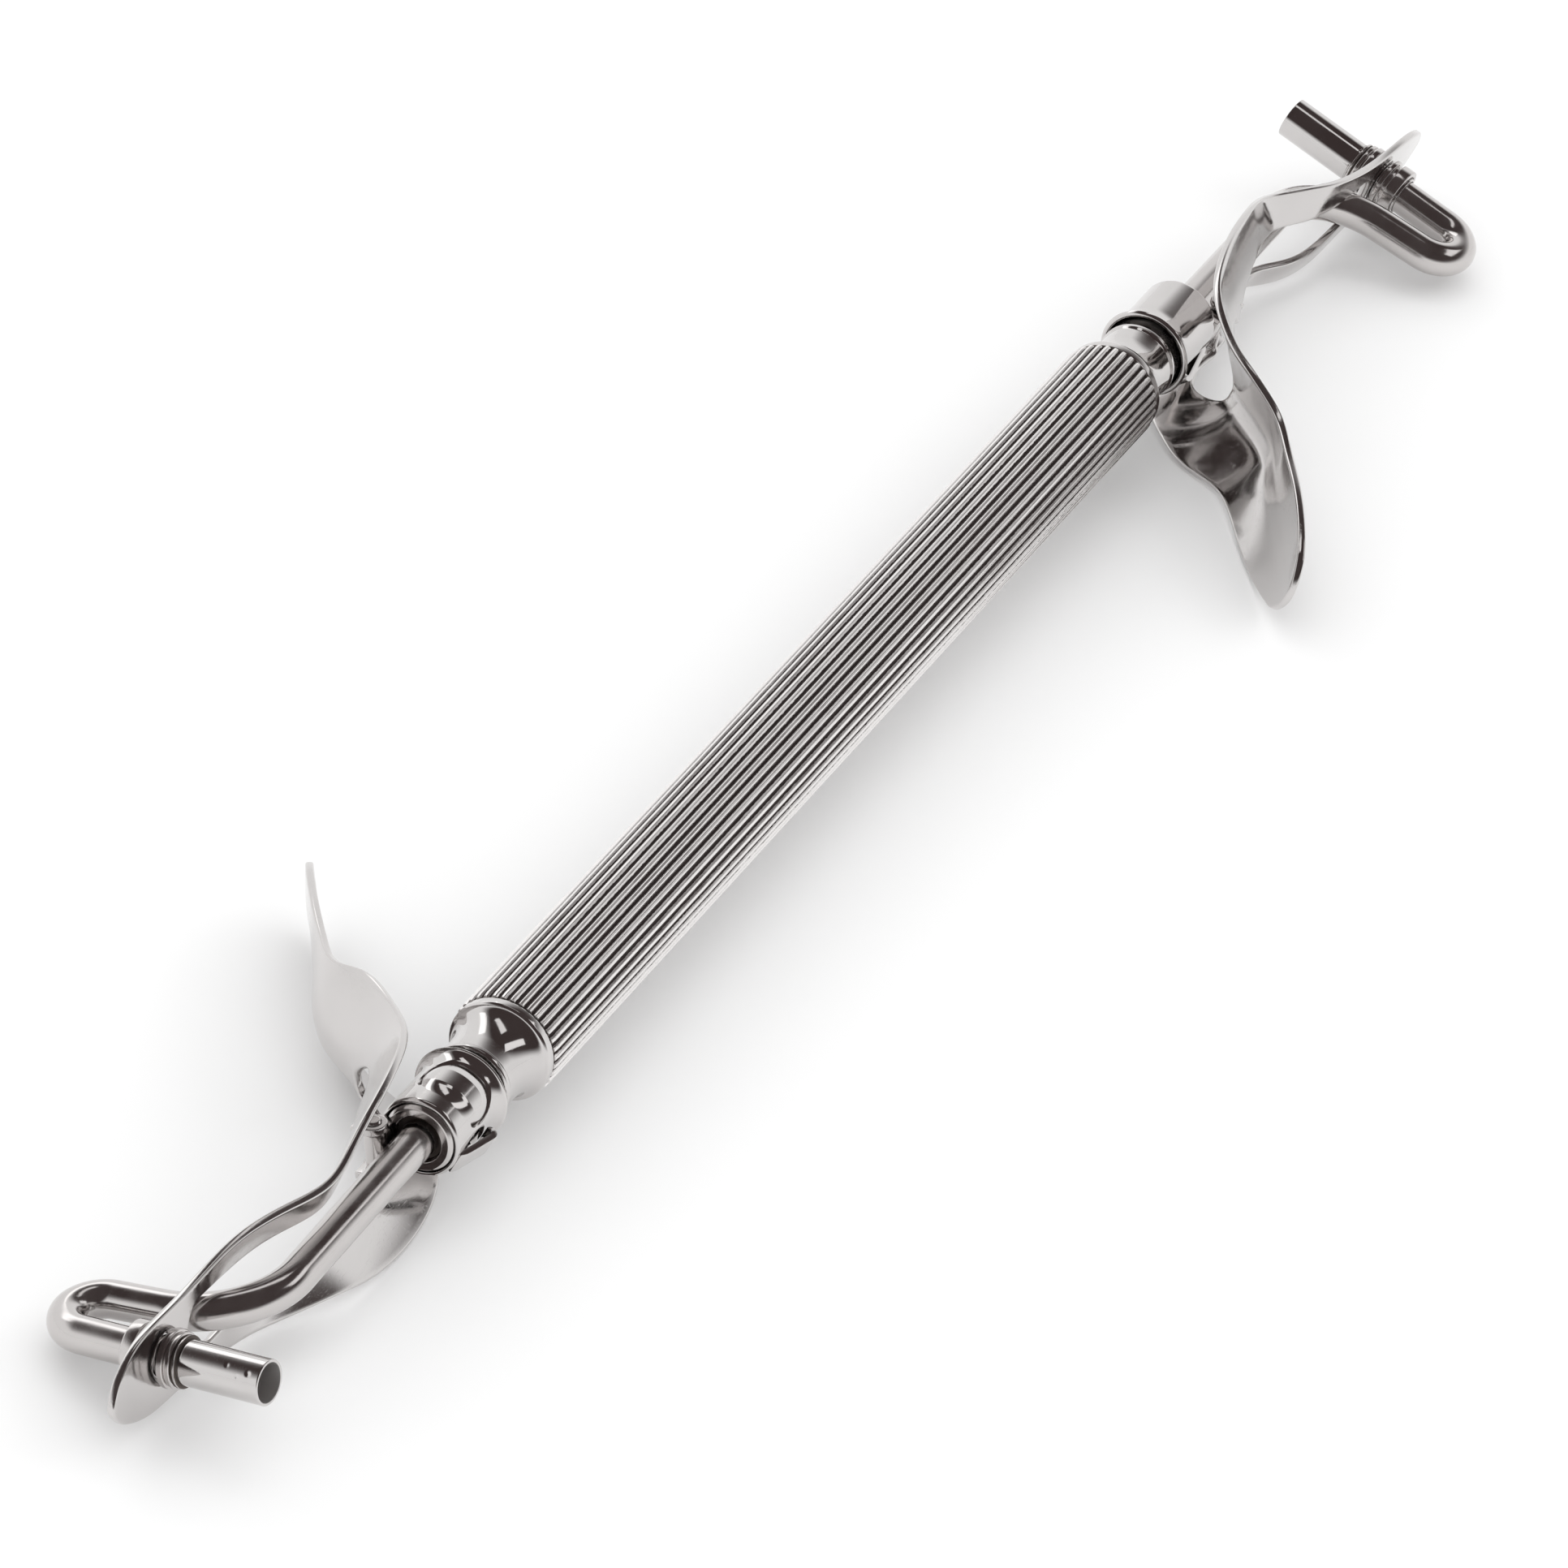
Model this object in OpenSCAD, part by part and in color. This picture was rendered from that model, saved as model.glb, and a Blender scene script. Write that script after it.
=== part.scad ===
// Double-ended lever carrier: fluted grip, and at each end a bent wire, a sliding tube and a thumb lever.
// Each end is drawn once in its own frame (x outwards from the grip's rim, y towards the open end of the
// tube, z up) and placed twice, the second time turned half a turn about the vertical.

/* [View] */
// Sub-part to draw

/* [Grip] */
// Outer diameter of the fluted tube
grip_d = 7.5; // [6:0.1:10]
// Length of the fluted tube
grip_len = 94.5; // [80:0.5:120]
// Number of flutes
flutes = 36; // [24:1:48]
// Radius of the cutter that makes a flute
flute_r = 0.24; // [0.1:0.02:0.4]
// Bore of the tube
grip_bore_d = 5.6; // [4:0.1:6]
// Height of the grip's axis above the table
axis_height = 5.7; // [4:0.01:9]

/* [End cap] */
// Radius of the bell's rim
bell_r = 3.6; // [3:0.05:4]
// Radius of the neck
neck_r = 2.72; // [2.2:0.02:3]
// Where the neck ends
neck_end = 5.0; // [4:0.1:6]
// Depth of the plug inside the grip
plug_len = 9; // [5:0.5:14]

/* [Lock ring] */
// Outer radius
ring_r = 2.81; // [2.4:0.01:3.2]
// Radius of the flared rear rim
ring_flare_r = 3.3; // [2.9:0.05:3.6]
// Rear end of the ring
ring_start = 5.8; // [5:0.1:7]
// Front end of the ring
ring_end = 12.0; // [10:0.1:13]
// Running gap between ring and ferrule
ring_gap = 0.07; // [0.03:0.01:0.1]
// How far the ring of end a is turned
ring_turn_a = -146; // [-180:1:180]
// How far the ring of end b is turned
ring_turn_b = -34; // [-180:1:180]

/* [Bent wire] */
// Wire diameter
wire_d = 2.5; // [2:0.05:3]
// Where the first bend starts
bend_start = 28.9; // [24:0.1:32]
// Centre-line radius of the first bend
bend_r = 6.2; // [5:0.05:8]
// Angle of the first bend
bend_deg = 90; // [60:1:100]
// Straight run between the first bend and the U
run_len = 3.4; // [3:0.1:9]
// Centre-line radius of the U
u_r = 2.14; // [2:0.02:3.5]
// Outward lean of the tube
lean = 5; // [0:0.5:8]
// Roll of each end about the grip
roll = 14; // [0:0.5:15]
// Droop of each end
droop = 1.2; // [0:0.1:6]

/* [Sliding tube] */
// Outer diameter of the tube
tube_d = 3.0; // [2.6:0.05:3.6]
// Running gap between wire and tube
tube_gap = 0.05; // [0.02:0.01:0.1]
// Distance of the tube's flange end behind the grip's axis
tube_back = 6.0; // [5:0.1:8]
// Distance of the tube's open end ahead of the grip's axis
tube_front = 4.0; // [3:0.1:6]
// Depth of the pocket at the open end
pocket = 3.3; // [2:0.1:5]

/* [Lever] */
// Sheet thickness
sheet = 0.56; // [0.4:0.02:0.8]
// Pivot, outwards from the rim
pivot_x = 13.9; // [13:0.1:16]
// Pivot, behind the grip's axis
pivot_y = -2.1; // [-3:0.05:-1.9]
// Pivot pin diameter
pin_d = 0.84; // [0.6:0.02:1.2]
// Running gap round the pin
pin_gap = 0.04; // [0.02:0.01:0.08]
// Gap round the tube in the lever's hole
hole_gap = 0.15; // [0.08:0.01:0.3]
// How far the thumb paddle is bent towards the grip
paddle_in = -2; // [-10:0.5:10]
// How far the thumb paddle is bent up
paddle_up = 4.2; // [-5:0.1:12]

/* [Hidden] */
$fn = 48;
D = grip_d;
half = grip_len / 2;
wr = wire_d / 2;
tr = tube_d / 2;
seat_r = tr - 0.04;
seat_taper = 0.02;
droop_x = 10.5;
ferrule_r = ring_r - 0.54 - ring_gap;
flange_r = 2.45;
ux = bend_start + bend_r * sin(bend_deg) + run_len * cos(bend_deg) + u_r * sin(bend_deg);
uy = -bend_r * (1 - cos(bend_deg)) - run_len * sin(bend_deg) + u_r * cos(bend_deg);
back_x = ux + u_r * cos(lean);
back_y = uy - u_r * sin(lean);
tube_x0 = back_x - back_y * tan(lean);
plate_y = -3.7;
hole_x = tube_x0 + plate_y * tan(lean);
slot_start = 7.3;
slot_end = 37.3;

// ---- helpers ----
// Turns a solid drawn round z so that its axis runs along +x.
module along_x() {
  rotate([0, 90, 0]) children();
}
// Places one end: its own frame to the shared frame.
module at_end(side) {
  translate([0, 0, axis_height]) rotate([0, 0, side == "a" ? 0 : 180])
    translate([half, 0, 0]) rotate([roll, 0, 0]) children();
}
// What hangs from the ferrule is tilted down a little.
module drooped() {
  translate([droop_x, 0, 0]) rotate([0, droop, 0]) translate([-droop_x, 0, 0]) children();
}
// Frame of the sliding tube: z along the tube towards its open end, origin level with the grip's axis.
module tube_frame() {
  translate([tube_x0, 0, 0]) rotate([0, 0, -lean]) rotate([-90, 0, 0]) children();
}

// ---- grip ----
module grip_tube() {
  color([0.78, 0.77, 0.76]) translate([0, 0, axis_height]) along_x() difference() {
    rotate_extrude($fn = 96) polygon(concat(
      [[grip_bore_d / 2, -half], [D / 2 - 0.3, -half]],
      [for (a = [0 : 30 : 90]) [D / 2 - 0.3 + 0.3 * sin(a), -half + 0.3 - 0.3 * cos(a)]],
      [for (a = [0 : 30 : 90]) [D / 2 - 0.3 + 0.3 * cos(a), half - 0.3 + 0.3 * sin(a)]],
      [[grip_bore_d / 2, half]]));
    for (i = [0 : flutes - 1])
      rotate([0, 0, i * 360 / flutes]) translate([D / 2 + 0.04, 0, -half - 1])
        cylinder(r = flute_r, h = grip_len + 2, $fn = 24);
  }
}

// ---- end cap: plug, bell, neck and the stud that carries the ferrule ----
module end_cap() {
  along_x() rotate_extrude($fn = 72) polygon(concat(
    [[0, -plug_len], [grip_bore_d / 2 - 0.4, -plug_len], [grip_bore_d / 2, -plug_len + 0.4],
     [grip_bore_d / 2, 0.02]],
    [for (a = [0 : 30 : 90]) [bell_r - 0.25 + 0.25 * sin(a), 0.27 - 0.25 * cos(a)]],
    [for (a = [0 : 15 : 90])
      [neck_r + (bell_r - neck_r) * (1 - sin(a)), 0.7 + 2.6 * (1 - cos(a))]],
    [[neck_r, neck_end - 0.5], [neck_r + 0.1, neck_end - 0.35], [neck_r + 0.1, neck_end - 0.12],
     [neck_r - 0.05, neck_end], [2.1, neck_end + 0.02], [2.1, 5.6], [1.5, 5.6], [1.5, 8.8],
     [1.2, 9.1], [0, 9.1]]));
}

// ---- ferrule: sits on the stud, holds the wire, keeps the lock ring and carries the lever's lug ----
module ferrule() {
  difference() {
    union() {
      along_x() rotate_extrude($fn = 72) polygon(concat(
        [[0, 5.6], [ferrule_r, 5.6], [ferrule_r, 11.35], [flange_r, 11.45]],
        [for (a = [0 : 15 : 90]) [flange_r - 0.5 + 0.5 * cos(a), 11.75 + 0.45 * sin(a)]],
        [[0, 12.2]]));
      drooped() {
        translate([pivot_x, pivot_y, -1.3]) cylinder(r = 0.72, h = 2.6);
        translate([12.12, pivot_y - 0.72, -1.3]) cube([pivot_x - 12.12, 1.44, 2.6]);
      }
    }
    along_x() translate([0, 0, 5]) cylinder(r = 1.5, h = 4.1);
    drooped() {
      along_x() translate([0, 0, 9.3]) cylinder(r = wr, h = 5);
      along_x() translate([0, 0, 11.7]) cylinder(r = wr + 0.38, h = 0.8);
      translate([pivot_x, pivot_y, -2]) cylinder(r = pin_d / 2 + pin_gap, h = 4);
    }
  }
}

// ---- lock ring: rolled shell with a flared rim, a domed tongue and a finger tab ----
module ring_body() {
  along_x() rotate_extrude($fn = 72) polygon(concat(
    [[ferrule_r + ring_gap, ring_start + 1.0], [ring_r + 0.05, ring_start + 0.75],
     [ring_flare_r - 0.42, ring_start + 0.12], [ring_flare_r - 0.3, ring_start]],
    [for (a = [0 : 30 : 90]) [ring_flare_r - 0.2 + 0.2 * sin(a), ring_start + 0.2 - 0.2 * cos(a)]],
    [for (a = [0 : 15 : 90])
      [ring_r + (ring_flare_r - ring_r) * (1 - sin(a)), ring_start + 0.3 + 1.5 * (1 - cos(a))]],
    [for (a = [0 : 30 : 90]) [ring_r - 0.25 + 0.25 * cos(a), ring_end - 0.25 + 0.25 * sin(a)]],
    [[flange_r + 0.08, ring_end - 0.05], [flange_r + 0.08, 11.42], [ferrule_r + ring_gap, 11.28]]));
}
module ring_tongue_shape(grow) {
  translate([8.9, 0, 0]) for (side = [-1, 1])
    translate([0, side * 0.9, 0]) cylinder(r = 1.75 + grow, h = 4, $fn = 48);
  translate([7.15 - grow, -0.9, 0]) cube([3.5 + 2 * grow, 1.8, 4]);
}
module lock_ring() {
  tongue_turn = -90;
  difference() {
    union() {
      ring_body();
      rotate([90 + tongue_turn, 0, 0]) intersection() {
        ring_tongue_shape(0);
        along_x() difference() {
          translate([0, 0, 6]) cylinder(r = ring_r + 0.16, h = 6, $fn = 72);
          translate([0, 0, 5]) cylinder(r = ring_r - 0.2, h = 8, $fn = 72);
        }
      }
      // finger tab: root at the front rim, free end standing off towards the grip
      translate([11.6, ring_r + 0.06, -0.85]) rotate([0, 0, 171]) cube([3.6, 0.32, 1.7]);
      translate([8.12, 3.2, -0.85]) cylinder(r = 0.34, h = 1.7, $fn = 24);
    }
    // lanced slit round the tongue
    rotate([90 + tongue_turn, 0, 0]) difference() {
      translate([0, 0, ring_r - 0.3]) ring_tongue_shape(0.14);
      ring_tongue_shape(0);
    }
    // window under the finger tab
    translate([8.3, ring_r - 1.1, -0.95]) cube([2.4, 1.12, 1.9]);
  }
}

// ---- wave washer behind the lock ring ----
module wave_washer() {
  along_x() translate([0, 0, 5.68]) difference() {
    cylinder(r = 2.62, h = 0.5, $fn = 48);
    translate([0, 0, -1]) cylinder(r = ferrule_r + 0.03, h = 3, $fn = 48);
    for (i = [0 : 2]) {
      rotate([0, 0, i * 120]) translate([-0.9, 0, 0.25]) cube([1.8, 4, 1]);
      rotate([0, 0, 60 + i * 120]) translate([-0.9, 0, -0.75]) cube([1.8, 4, 1]);
    }
  }
}

// ---- bent wire: straight, bend, run, U and the plunger that fills the tube ----
// A bend runs 1 degree into the straights and is a hair thinner, so that the wire is one clean solid.
module wire_bend(r, a0, deg) {
  rotate([0, 0, a0 - 1]) rotate_extrude(angle = deg + 2) translate([r, 0]) circle(wr - 0.004);
}
module hook_wire() {
  plunger = tube_front - pocket - back_y / cos(lean);
  along_x() translate([0, 0, 9.35]) cylinder(r = wr, h = bend_start - 9.35);
  translate([bend_start, -bend_r, 0]) wire_bend(bend_r, 90 - bend_deg, bend_deg);
  translate([bend_start + bend_r * sin(bend_deg), -bend_r * (1 - cos(bend_deg)), 0])
    rotate([0, 0, -bend_deg]) along_x() cylinder(r = wr, h = run_len);
  translate([ux, uy, 0]) wire_bend(u_r, 270 - bend_deg, 90 + bend_deg - lean);
  translate([back_x, back_y, 0]) rotate([0, 0, -lean]) rotate([-90, 0, 0]) {
    cylinder(r = wr, h = plunger - 0.15);
    translate([0, 0, plunger - 0.15]) cylinder(r1 = wr, r2 = wr - 0.15, h = 0.15);
  }
}

// ---- lever: one stamped sheet, lofted through stations ----
// Each row: centre line x, y, edge x, y, half width, twist. The sheet is dished between centre and edges.
stations = [
  [-11.0, -20.2, -10.9, -20.1, 2.0, 0],
  [-8.3, -18.8, -8.4, -18.4, 3.1, 3],
  [-4.6, -16.3, -4.9, -15.8, 3.8, 7],
  [-0.5, -13.9, -1.3, -13.0, 3.9, 8],
  [3.1, -12.0, 1.5, -10.5, 4.2, 8],
  [5.2, -9.4, 2.8, -7.1, 5.0, 8],
  [6.9, -7.1, 4.9, -4.3, 5.1, 7],
  [9.8, -4.9, 8.8, -0.9, 5.5, 6],
  [14.8, -3.1, 14.3, 0.4, 5.9, 3],
  [20.0, -1.8, 20.0, 0.6, 5.4, 0],
  [24.2, -1.4, 24.2, 0.3, 4.3, -4],
  [27.9, -2.9, 28.1, -1.6, 4.2, -6],
  [31.4, -3.4, 31.6, -2.9, 3.8, -4],
  [37.2, -3.55, 37.2, -3.5, 3.0, 0],
  [42.9, -3.9, 42.9, -3.9, 2.8, 0],
  [46.6, -3.9, 46.6, -3.9, 1.0, 0]];
last = len(stations) - 1;
// Smooth curve through the stations, k = column, u from 0 to last.
function st(i, k) = stations[max(0, min(last, i))][k];
function curve(u, k) = let (
    i = min(floor(u), last - 1), f = u - i,
    a = st(i - 1, k), b = st(i, k), c = st(i + 1, k), d = st(i + 2, k))
  b + 0.5 * f * (c - a + f * (2 * a - 5 * b + 4 * c - d + f * (3 * (b - c) + d - a)));
// Half width: the curve, rounded off at both tips.
function round_off(t) = t >= 1 ? 1 : sqrt(max(0, 1 - (1 - t) * (1 - t)));
function half_w(u) = max(0.12, curve(u, 4) * round_off(u / 0.6) * round_off((last - u) / 0.4));
// Middle of the sheet; the paddle is bent about the point [10, -5] by bend = [in, up] degrees.
function mid(u, v, bend) = let (
    xc = curve(u, 0), yc = curve(u, 1), w = half_w(u), cup = pow(abs(v), 1.5), t = -curve(u, 5),
    px = xc + (curve(u, 2) - xc) * cup,
    py = yc + (curve(u, 3) - yc) * cup * cos(t) + v * w * sin(t),
    pz = v * w * cos(t) - (curve(u, 3) - yc) * cup * sin(t),
    k = max(0, min(1, (11 - xc) / 6)), turn = bend[0] * k, far = norm([xc - 10, yc + 5]))
  [10 + (px - 10) * cos(turn) - (py + 5) * sin(turn), -5 + (px - 10) * sin(turn) + (py + 5) * cos(turn),
   pz + tan(bend[1]) * k * far];
function sheet_point(u, v, side, bend) = let (
    along_u = mid(min(last, u + 0.03), v, bend) - mid(max(0, u - 0.03), v, bend),
    along_v = mid(u, v + 0.03, bend) - mid(u, v - 0.03, bend),
    normal = cross(along_v, along_u))
  mid(u, v, bend) + normal / norm(normal) * side * sheet / 2;
across = 10;
along = concat([for (t = [0 : 1 : 5]) 0.6 * (1 - cos(t * 18))],
               [for (t = [1 : 1 : 50]) 0.6 + t * (last - 1) / 50],
               [for (t = [1 : 1 : 5]) last - 0.4 * (1 - sin(t * 18))]);
module lever_sheet(bend) {
  n = len(along);
  m = across + 1;
  top = [for (u = along) for (j = [0 : across]) sheet_point(u, 2 * j / across - 1, 1, bend)];
  low = [for (u = along) for (j = [0 : across]) sheet_point(u, 2 * j / across - 1, -1, bend)];
  s = n * m;
  tris = concat(
    [for (i = [0 : n - 2]) for (j = [0 : across - 1])
      each [[i * m + j, i * m + j + 1, (i + 1) * m + j],
            [i * m + j + 1, (i + 1) * m + j + 1, (i + 1) * m + j]]],
    [for (i = [0 : n - 2]) for (j = [0 : across - 1])
      each [[s + i * m + j, s + (i + 1) * m + j, s + i * m + j + 1],
            [s + i * m + j + 1, s + (i + 1) * m + j, s + (i + 1) * m + j + 1]]],
    [for (i = [0 : n - 2]) each [
      [i * m, (i + 1) * m, s + i * m], [(i + 1) * m, s + (i + 1) * m, s + i * m],
      [i * m + across, s + i * m + across, (i + 1) * m + across],
      [(i + 1) * m + across, s + i * m + across, s + (i + 1) * m + across]]],
    [for (j = [0 : across - 1]) each [
      [j, s + j, j + 1], [j + 1, s + j, s + j + 1],
      [(n - 1) * m + j, (n - 1) * m + j + 1, s + (n - 1) * m + j],
      [(n - 1) * m + j + 1, s + (n - 1) * m + j + 1, s + (n - 1) * m + j]]]);
  polyhedron(points = concat(top, low), faces = [for (f = tris) [f[0], f[2], f[1]]]);
}
// Outline of the long slot between the two cheeks: wide round the ring, narrow at the pivot.
module slot_outline() {
  translate([slot_start + 2.6, 0]) circle(2.6, $fn = 40);
  polygon([[slot_start + 2.6, 2.6], [12, 2.5], [12.75, 1.42], [15, 1.42], [16.1, 1.8],
           [slot_end - 1.8, 1.8], [slot_end - 1.8, -1.8],
           [16.1, -1.8], [15, -1.42], [12.75, -1.42], [12, -2.5], [slot_start + 2.6, -2.6]]);
  translate([slot_end - 1.8, 0]) circle(1.8, $fn = 40);
}
module lever(bend) {
  hole_r = tr + hole_gap;
  difference() {
    union() {
      difference() {
        lever_sheet(bend);
        rotate([90, 0, 0]) translate([0, 0, -5]) linear_extrude(30) slot_outline();
      }
      for (side = [-1, 1]) translate([pivot_x, pivot_y, side * 1.68 - 0.27]) {
        cylinder(r = 0.95, h = 0.54);
        translate([-0.95, -1.2, 0]) cube([1.9, 1.2, 0.54]);
      }
    }
    translate([hole_x - 0.1, 2, 0]) rotate([90, 0, 0]) {
      cylinder(r = hole_r, h = 9);
      translate([0.1, 0, 0]) cylinder(r = hole_r, h = 9);
      translate([0, -hole_r, 0]) cube([0.1, 2 * hole_r, 9]);
    }
    // pin hole, and flats for the pin's heads
    translate([pivot_x, pivot_y, -2.6]) cylinder(r = pin_d / 2 + 0.01, h = 5.2);
    for (side = [-1, 1])
      translate([pivot_x, pivot_y, side * 2.27 - 0.32]) cylinder(r = 0.66, h = 0.64);
  }
}

// ---- pivot pin ----
module pivot_pin() {
  translate([pivot_x, pivot_y, -2.05]) cylinder(r = pin_d / 2, h = 4.1);
  for (side = [-1, 1])
    translate([pivot_x, pivot_y, side * 2.06 - 0.11]) cylinder(r = 0.62, h = 0.22);
}

// ---- sliding tube and what is fixed on it ----
module slide_tube() {
  shoulder = plate_y / cos(lean) + 1.95;
  tube_frame() rotate_extrude($fn = 64) polygon([
    [wr + tube_gap, -tube_back], [seat_r - 0.06, -tube_back],
    [seat_r - seat_taper, -tube_back + 0.06], [seat_r - 0.002, shoulder], [tr, shoulder],
    [tr, tube_front - 0.1], [tr - 0.06, tube_front - 0.02], [tr - 0.1, tube_front],
    [wr + tube_gap + 0.05, tube_front], [wr + tube_gap, tube_front - 0.06]]);
}
module stop_flange() {
  y0 = plate_y / cos(lean);
  tube_frame() rotate_extrude($fn = 64) polygon([
    [seat_r, -tube_back + 0.15], [1.85, -tube_back + 0.15], [1.95, -tube_back + 0.25],
    [1.95, -tube_back + 0.95], [1.85, -tube_back + 1.05], [1.72, -tube_back + 1.05],
    [1.72, y0 - 0.95], [1.95, y0 - 0.9], [1.95, y0 - 0.58], [seat_r, y0 - 0.58]]);
}
module keeper_ring() {
  y0 = plate_y / cos(lean);
  tube_frame() rotate_extrude($fn = 64) polygon([
    [seat_r, y0 + 0.58], [1.9, y0 + 0.58], [1.95, y0 + 0.65], [1.95, y0 + 0.95], [1.9, y0 + 1.02],
    [1.76, y0 + 1.02], [1.76, y0 + 1.12], [1.84, y0 + 1.2], [1.84, y0 + 1.42], [1.76, y0 + 1.5],
    [1.66, y0 + 1.5], [1.66, y0 + 1.6], [1.72, y0 + 1.66], [1.72, y0 + 1.76],
    [1.64, y0 + 1.84], [seat_r, y0 + 1.84]]);
}

steel = [0.76, 0.75, 0.74];
bright = [0.82, 0.81, 0.80];
dark = [0.55, 0.54, 0.53];
module end_cap_a() { color(bright) at_end("a") end_cap(); }
module end_cap_b() { color(bright) at_end("b") end_cap(); }
module ferrule_a() { color(dark) at_end("a") ferrule(); }
module ferrule_b() { color(dark) at_end("b") ferrule(); }
module lock_ring_a() { color(bright) at_end("a") rotate([ring_turn_a, 0, 0]) lock_ring(); }
module lock_ring_b() { color(bright) at_end("b") rotate([ring_turn_b, 0, 0]) lock_ring(); }
module wave_washer_a() { color(dark) at_end("a") wave_washer(); }
module wave_washer_b() { color(dark) at_end("b") wave_washer(); }
module hook_wire_a() { color(steel) at_end("a") drooped() hook_wire(); }
module hook_wire_b() { color(steel) at_end("b") drooped() hook_wire(); }
module lever_a() { color(bright) at_end("a") drooped() lever([paddle_in, paddle_up]); }
module lever_b() { color(bright) at_end("b") drooped() lever([paddle_in, paddle_up]); }
module pivot_pin_a() { color(dark) at_end("a") drooped() pivot_pin(); }
module pivot_pin_b() { color(dark) at_end("b") drooped() pivot_pin(); }
module slide_tube_a() { color(bright) at_end("a") drooped() slide_tube(); }
module slide_tube_b() { color(bright) at_end("b") drooped() slide_tube(); }
module stop_flange_a() { color(steel) at_end("a") drooped() stop_flange(); }
module stop_flange_b() { color(steel) at_end("b") drooped() stop_flange(); }
module keeper_ring_a() { color(steel) at_end("a") drooped() keeper_ring(); }
module keeper_ring_b() { color(steel) at_end("b") drooped() keeper_ring(); }

grip_tube();
end_cap_a();
ferrule_a();
lock_ring_a();
wave_washer_a();
hook_wire_a();
lever_a();
pivot_pin_a();
slide_tube_a();
stop_flange_a();
keeper_ring_a();
end_cap_b();
ferrule_b();
lock_ring_b();
wave_washer_b();
hook_wire_b();
lever_b();
pivot_pin_b();
slide_tube_b();
stop_flange_b();
keeper_ring_b();
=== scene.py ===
# %% [markdown]
# # A double-ended lever carrier in polished steel
# The real object is a fluted steel grip. Each end carries a bent wire, a little tube that slides
# on the wire's end, and a stamped thumb lever that pushes the tube back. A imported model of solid
# parts is the fixed frame: every piece made here sits where its solid sits and rides on the same
# body.

# %% Load the frame
import bpy
import bmesh
import math
import numpy as np
from mathutils import Matrix, Vector
from mathutils.geometry import delaunay_2d_cdt


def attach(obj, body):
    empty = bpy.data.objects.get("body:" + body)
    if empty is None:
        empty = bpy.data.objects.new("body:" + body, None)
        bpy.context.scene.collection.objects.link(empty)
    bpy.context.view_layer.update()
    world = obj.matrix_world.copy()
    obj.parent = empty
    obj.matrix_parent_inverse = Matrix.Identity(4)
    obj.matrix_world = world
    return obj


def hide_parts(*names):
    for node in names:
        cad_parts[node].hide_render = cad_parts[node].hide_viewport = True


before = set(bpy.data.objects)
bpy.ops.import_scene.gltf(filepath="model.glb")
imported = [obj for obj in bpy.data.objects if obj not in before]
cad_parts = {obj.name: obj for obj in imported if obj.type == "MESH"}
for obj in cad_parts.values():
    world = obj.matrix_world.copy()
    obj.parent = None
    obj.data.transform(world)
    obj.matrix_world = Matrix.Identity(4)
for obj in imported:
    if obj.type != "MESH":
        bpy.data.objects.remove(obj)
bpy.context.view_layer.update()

# %% [markdown]
# ## Sizes and places
# Each end is drawn once in its own frame, in millimetres: x runs out of the grip, y towards the
# open end of the tube, z up. A matrix then carries it to its place, so both ends share all the
# shapes. It would also work to model one end and mirror it, but the second end is turned half a
# turn, not mirrored.

# %% Sizes in millimetres
GRIP_D, GRIP_LEN, AXIS_HEIGHT, FLUTES = 7.5, 94.5, 5.7, 36
ROLL, DROOP, DROOP_X = 14.0, 1.2, 10.5
WIRE_R, TUBE_R, SEAT_R, LEAN = 1.25, 1.5, 1.46, 5.0
BEND_START, BEND_R, RUN_LEN, U_R = 28.9, 6.2, 3.4, 2.14
TUBE_BACK, TUBE_FRONT, POCKET, NOSE_BACK = -6.0, 4.0, 3.3, 3.7
PIVOT = (13.9, -2.1)
SHEET = 0.56
RING_TURN = {"a": -146.0, "b": -34.0}
ENDS = ("a", "b")


def turn(axis, degrees):
    return Matrix.Rotation(math.radians(degrees), 4, axis)


def shift(x=0.0, y=0.0, z=0.0):
    return Matrix.Translation((x, y, z))


def end_place(end, drooped=True):
    """Own frame of one end to the shared frame, still in millimetres."""
    m = shift(z=AXIS_HEIGHT) @ turn("Z", 0 if end == "a" else 180)
    m = m @ shift(x=GRIP_LEN / 2) @ turn("X", ROLL)
    if drooped:
        m = m @ shift(x=DROOP_X) @ turn("Y", DROOP) @ shift(x=-DROOP_X)
    return m


u_x = BEND_START + BEND_R + U_R
u_y = -BEND_R - RUN_LEN
lean = math.radians(LEAN)
back_x, back_y = u_x + U_R * math.cos(lean), u_y - U_R * math.sin(lean)
tube_x0 = back_x - back_y * math.tan(lean)
hole_x = tube_x0 - NOSE_BACK * math.tan(lean)


def tube_place(end):
    """Frame whose x runs along the sliding tube towards its open end."""
    return end_place(end) @ shift(x=tube_x0) @ turn("Z", 90 - LEAN)


print("tube axis at x =", round(tube_x0, 3), "mm from the rim")

# %% [markdown]
# ## From points to a piece
# Polished steel shows every flaw of a mesh, so the pieces are dense grids made from formulas and
# smooth shaded.


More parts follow.
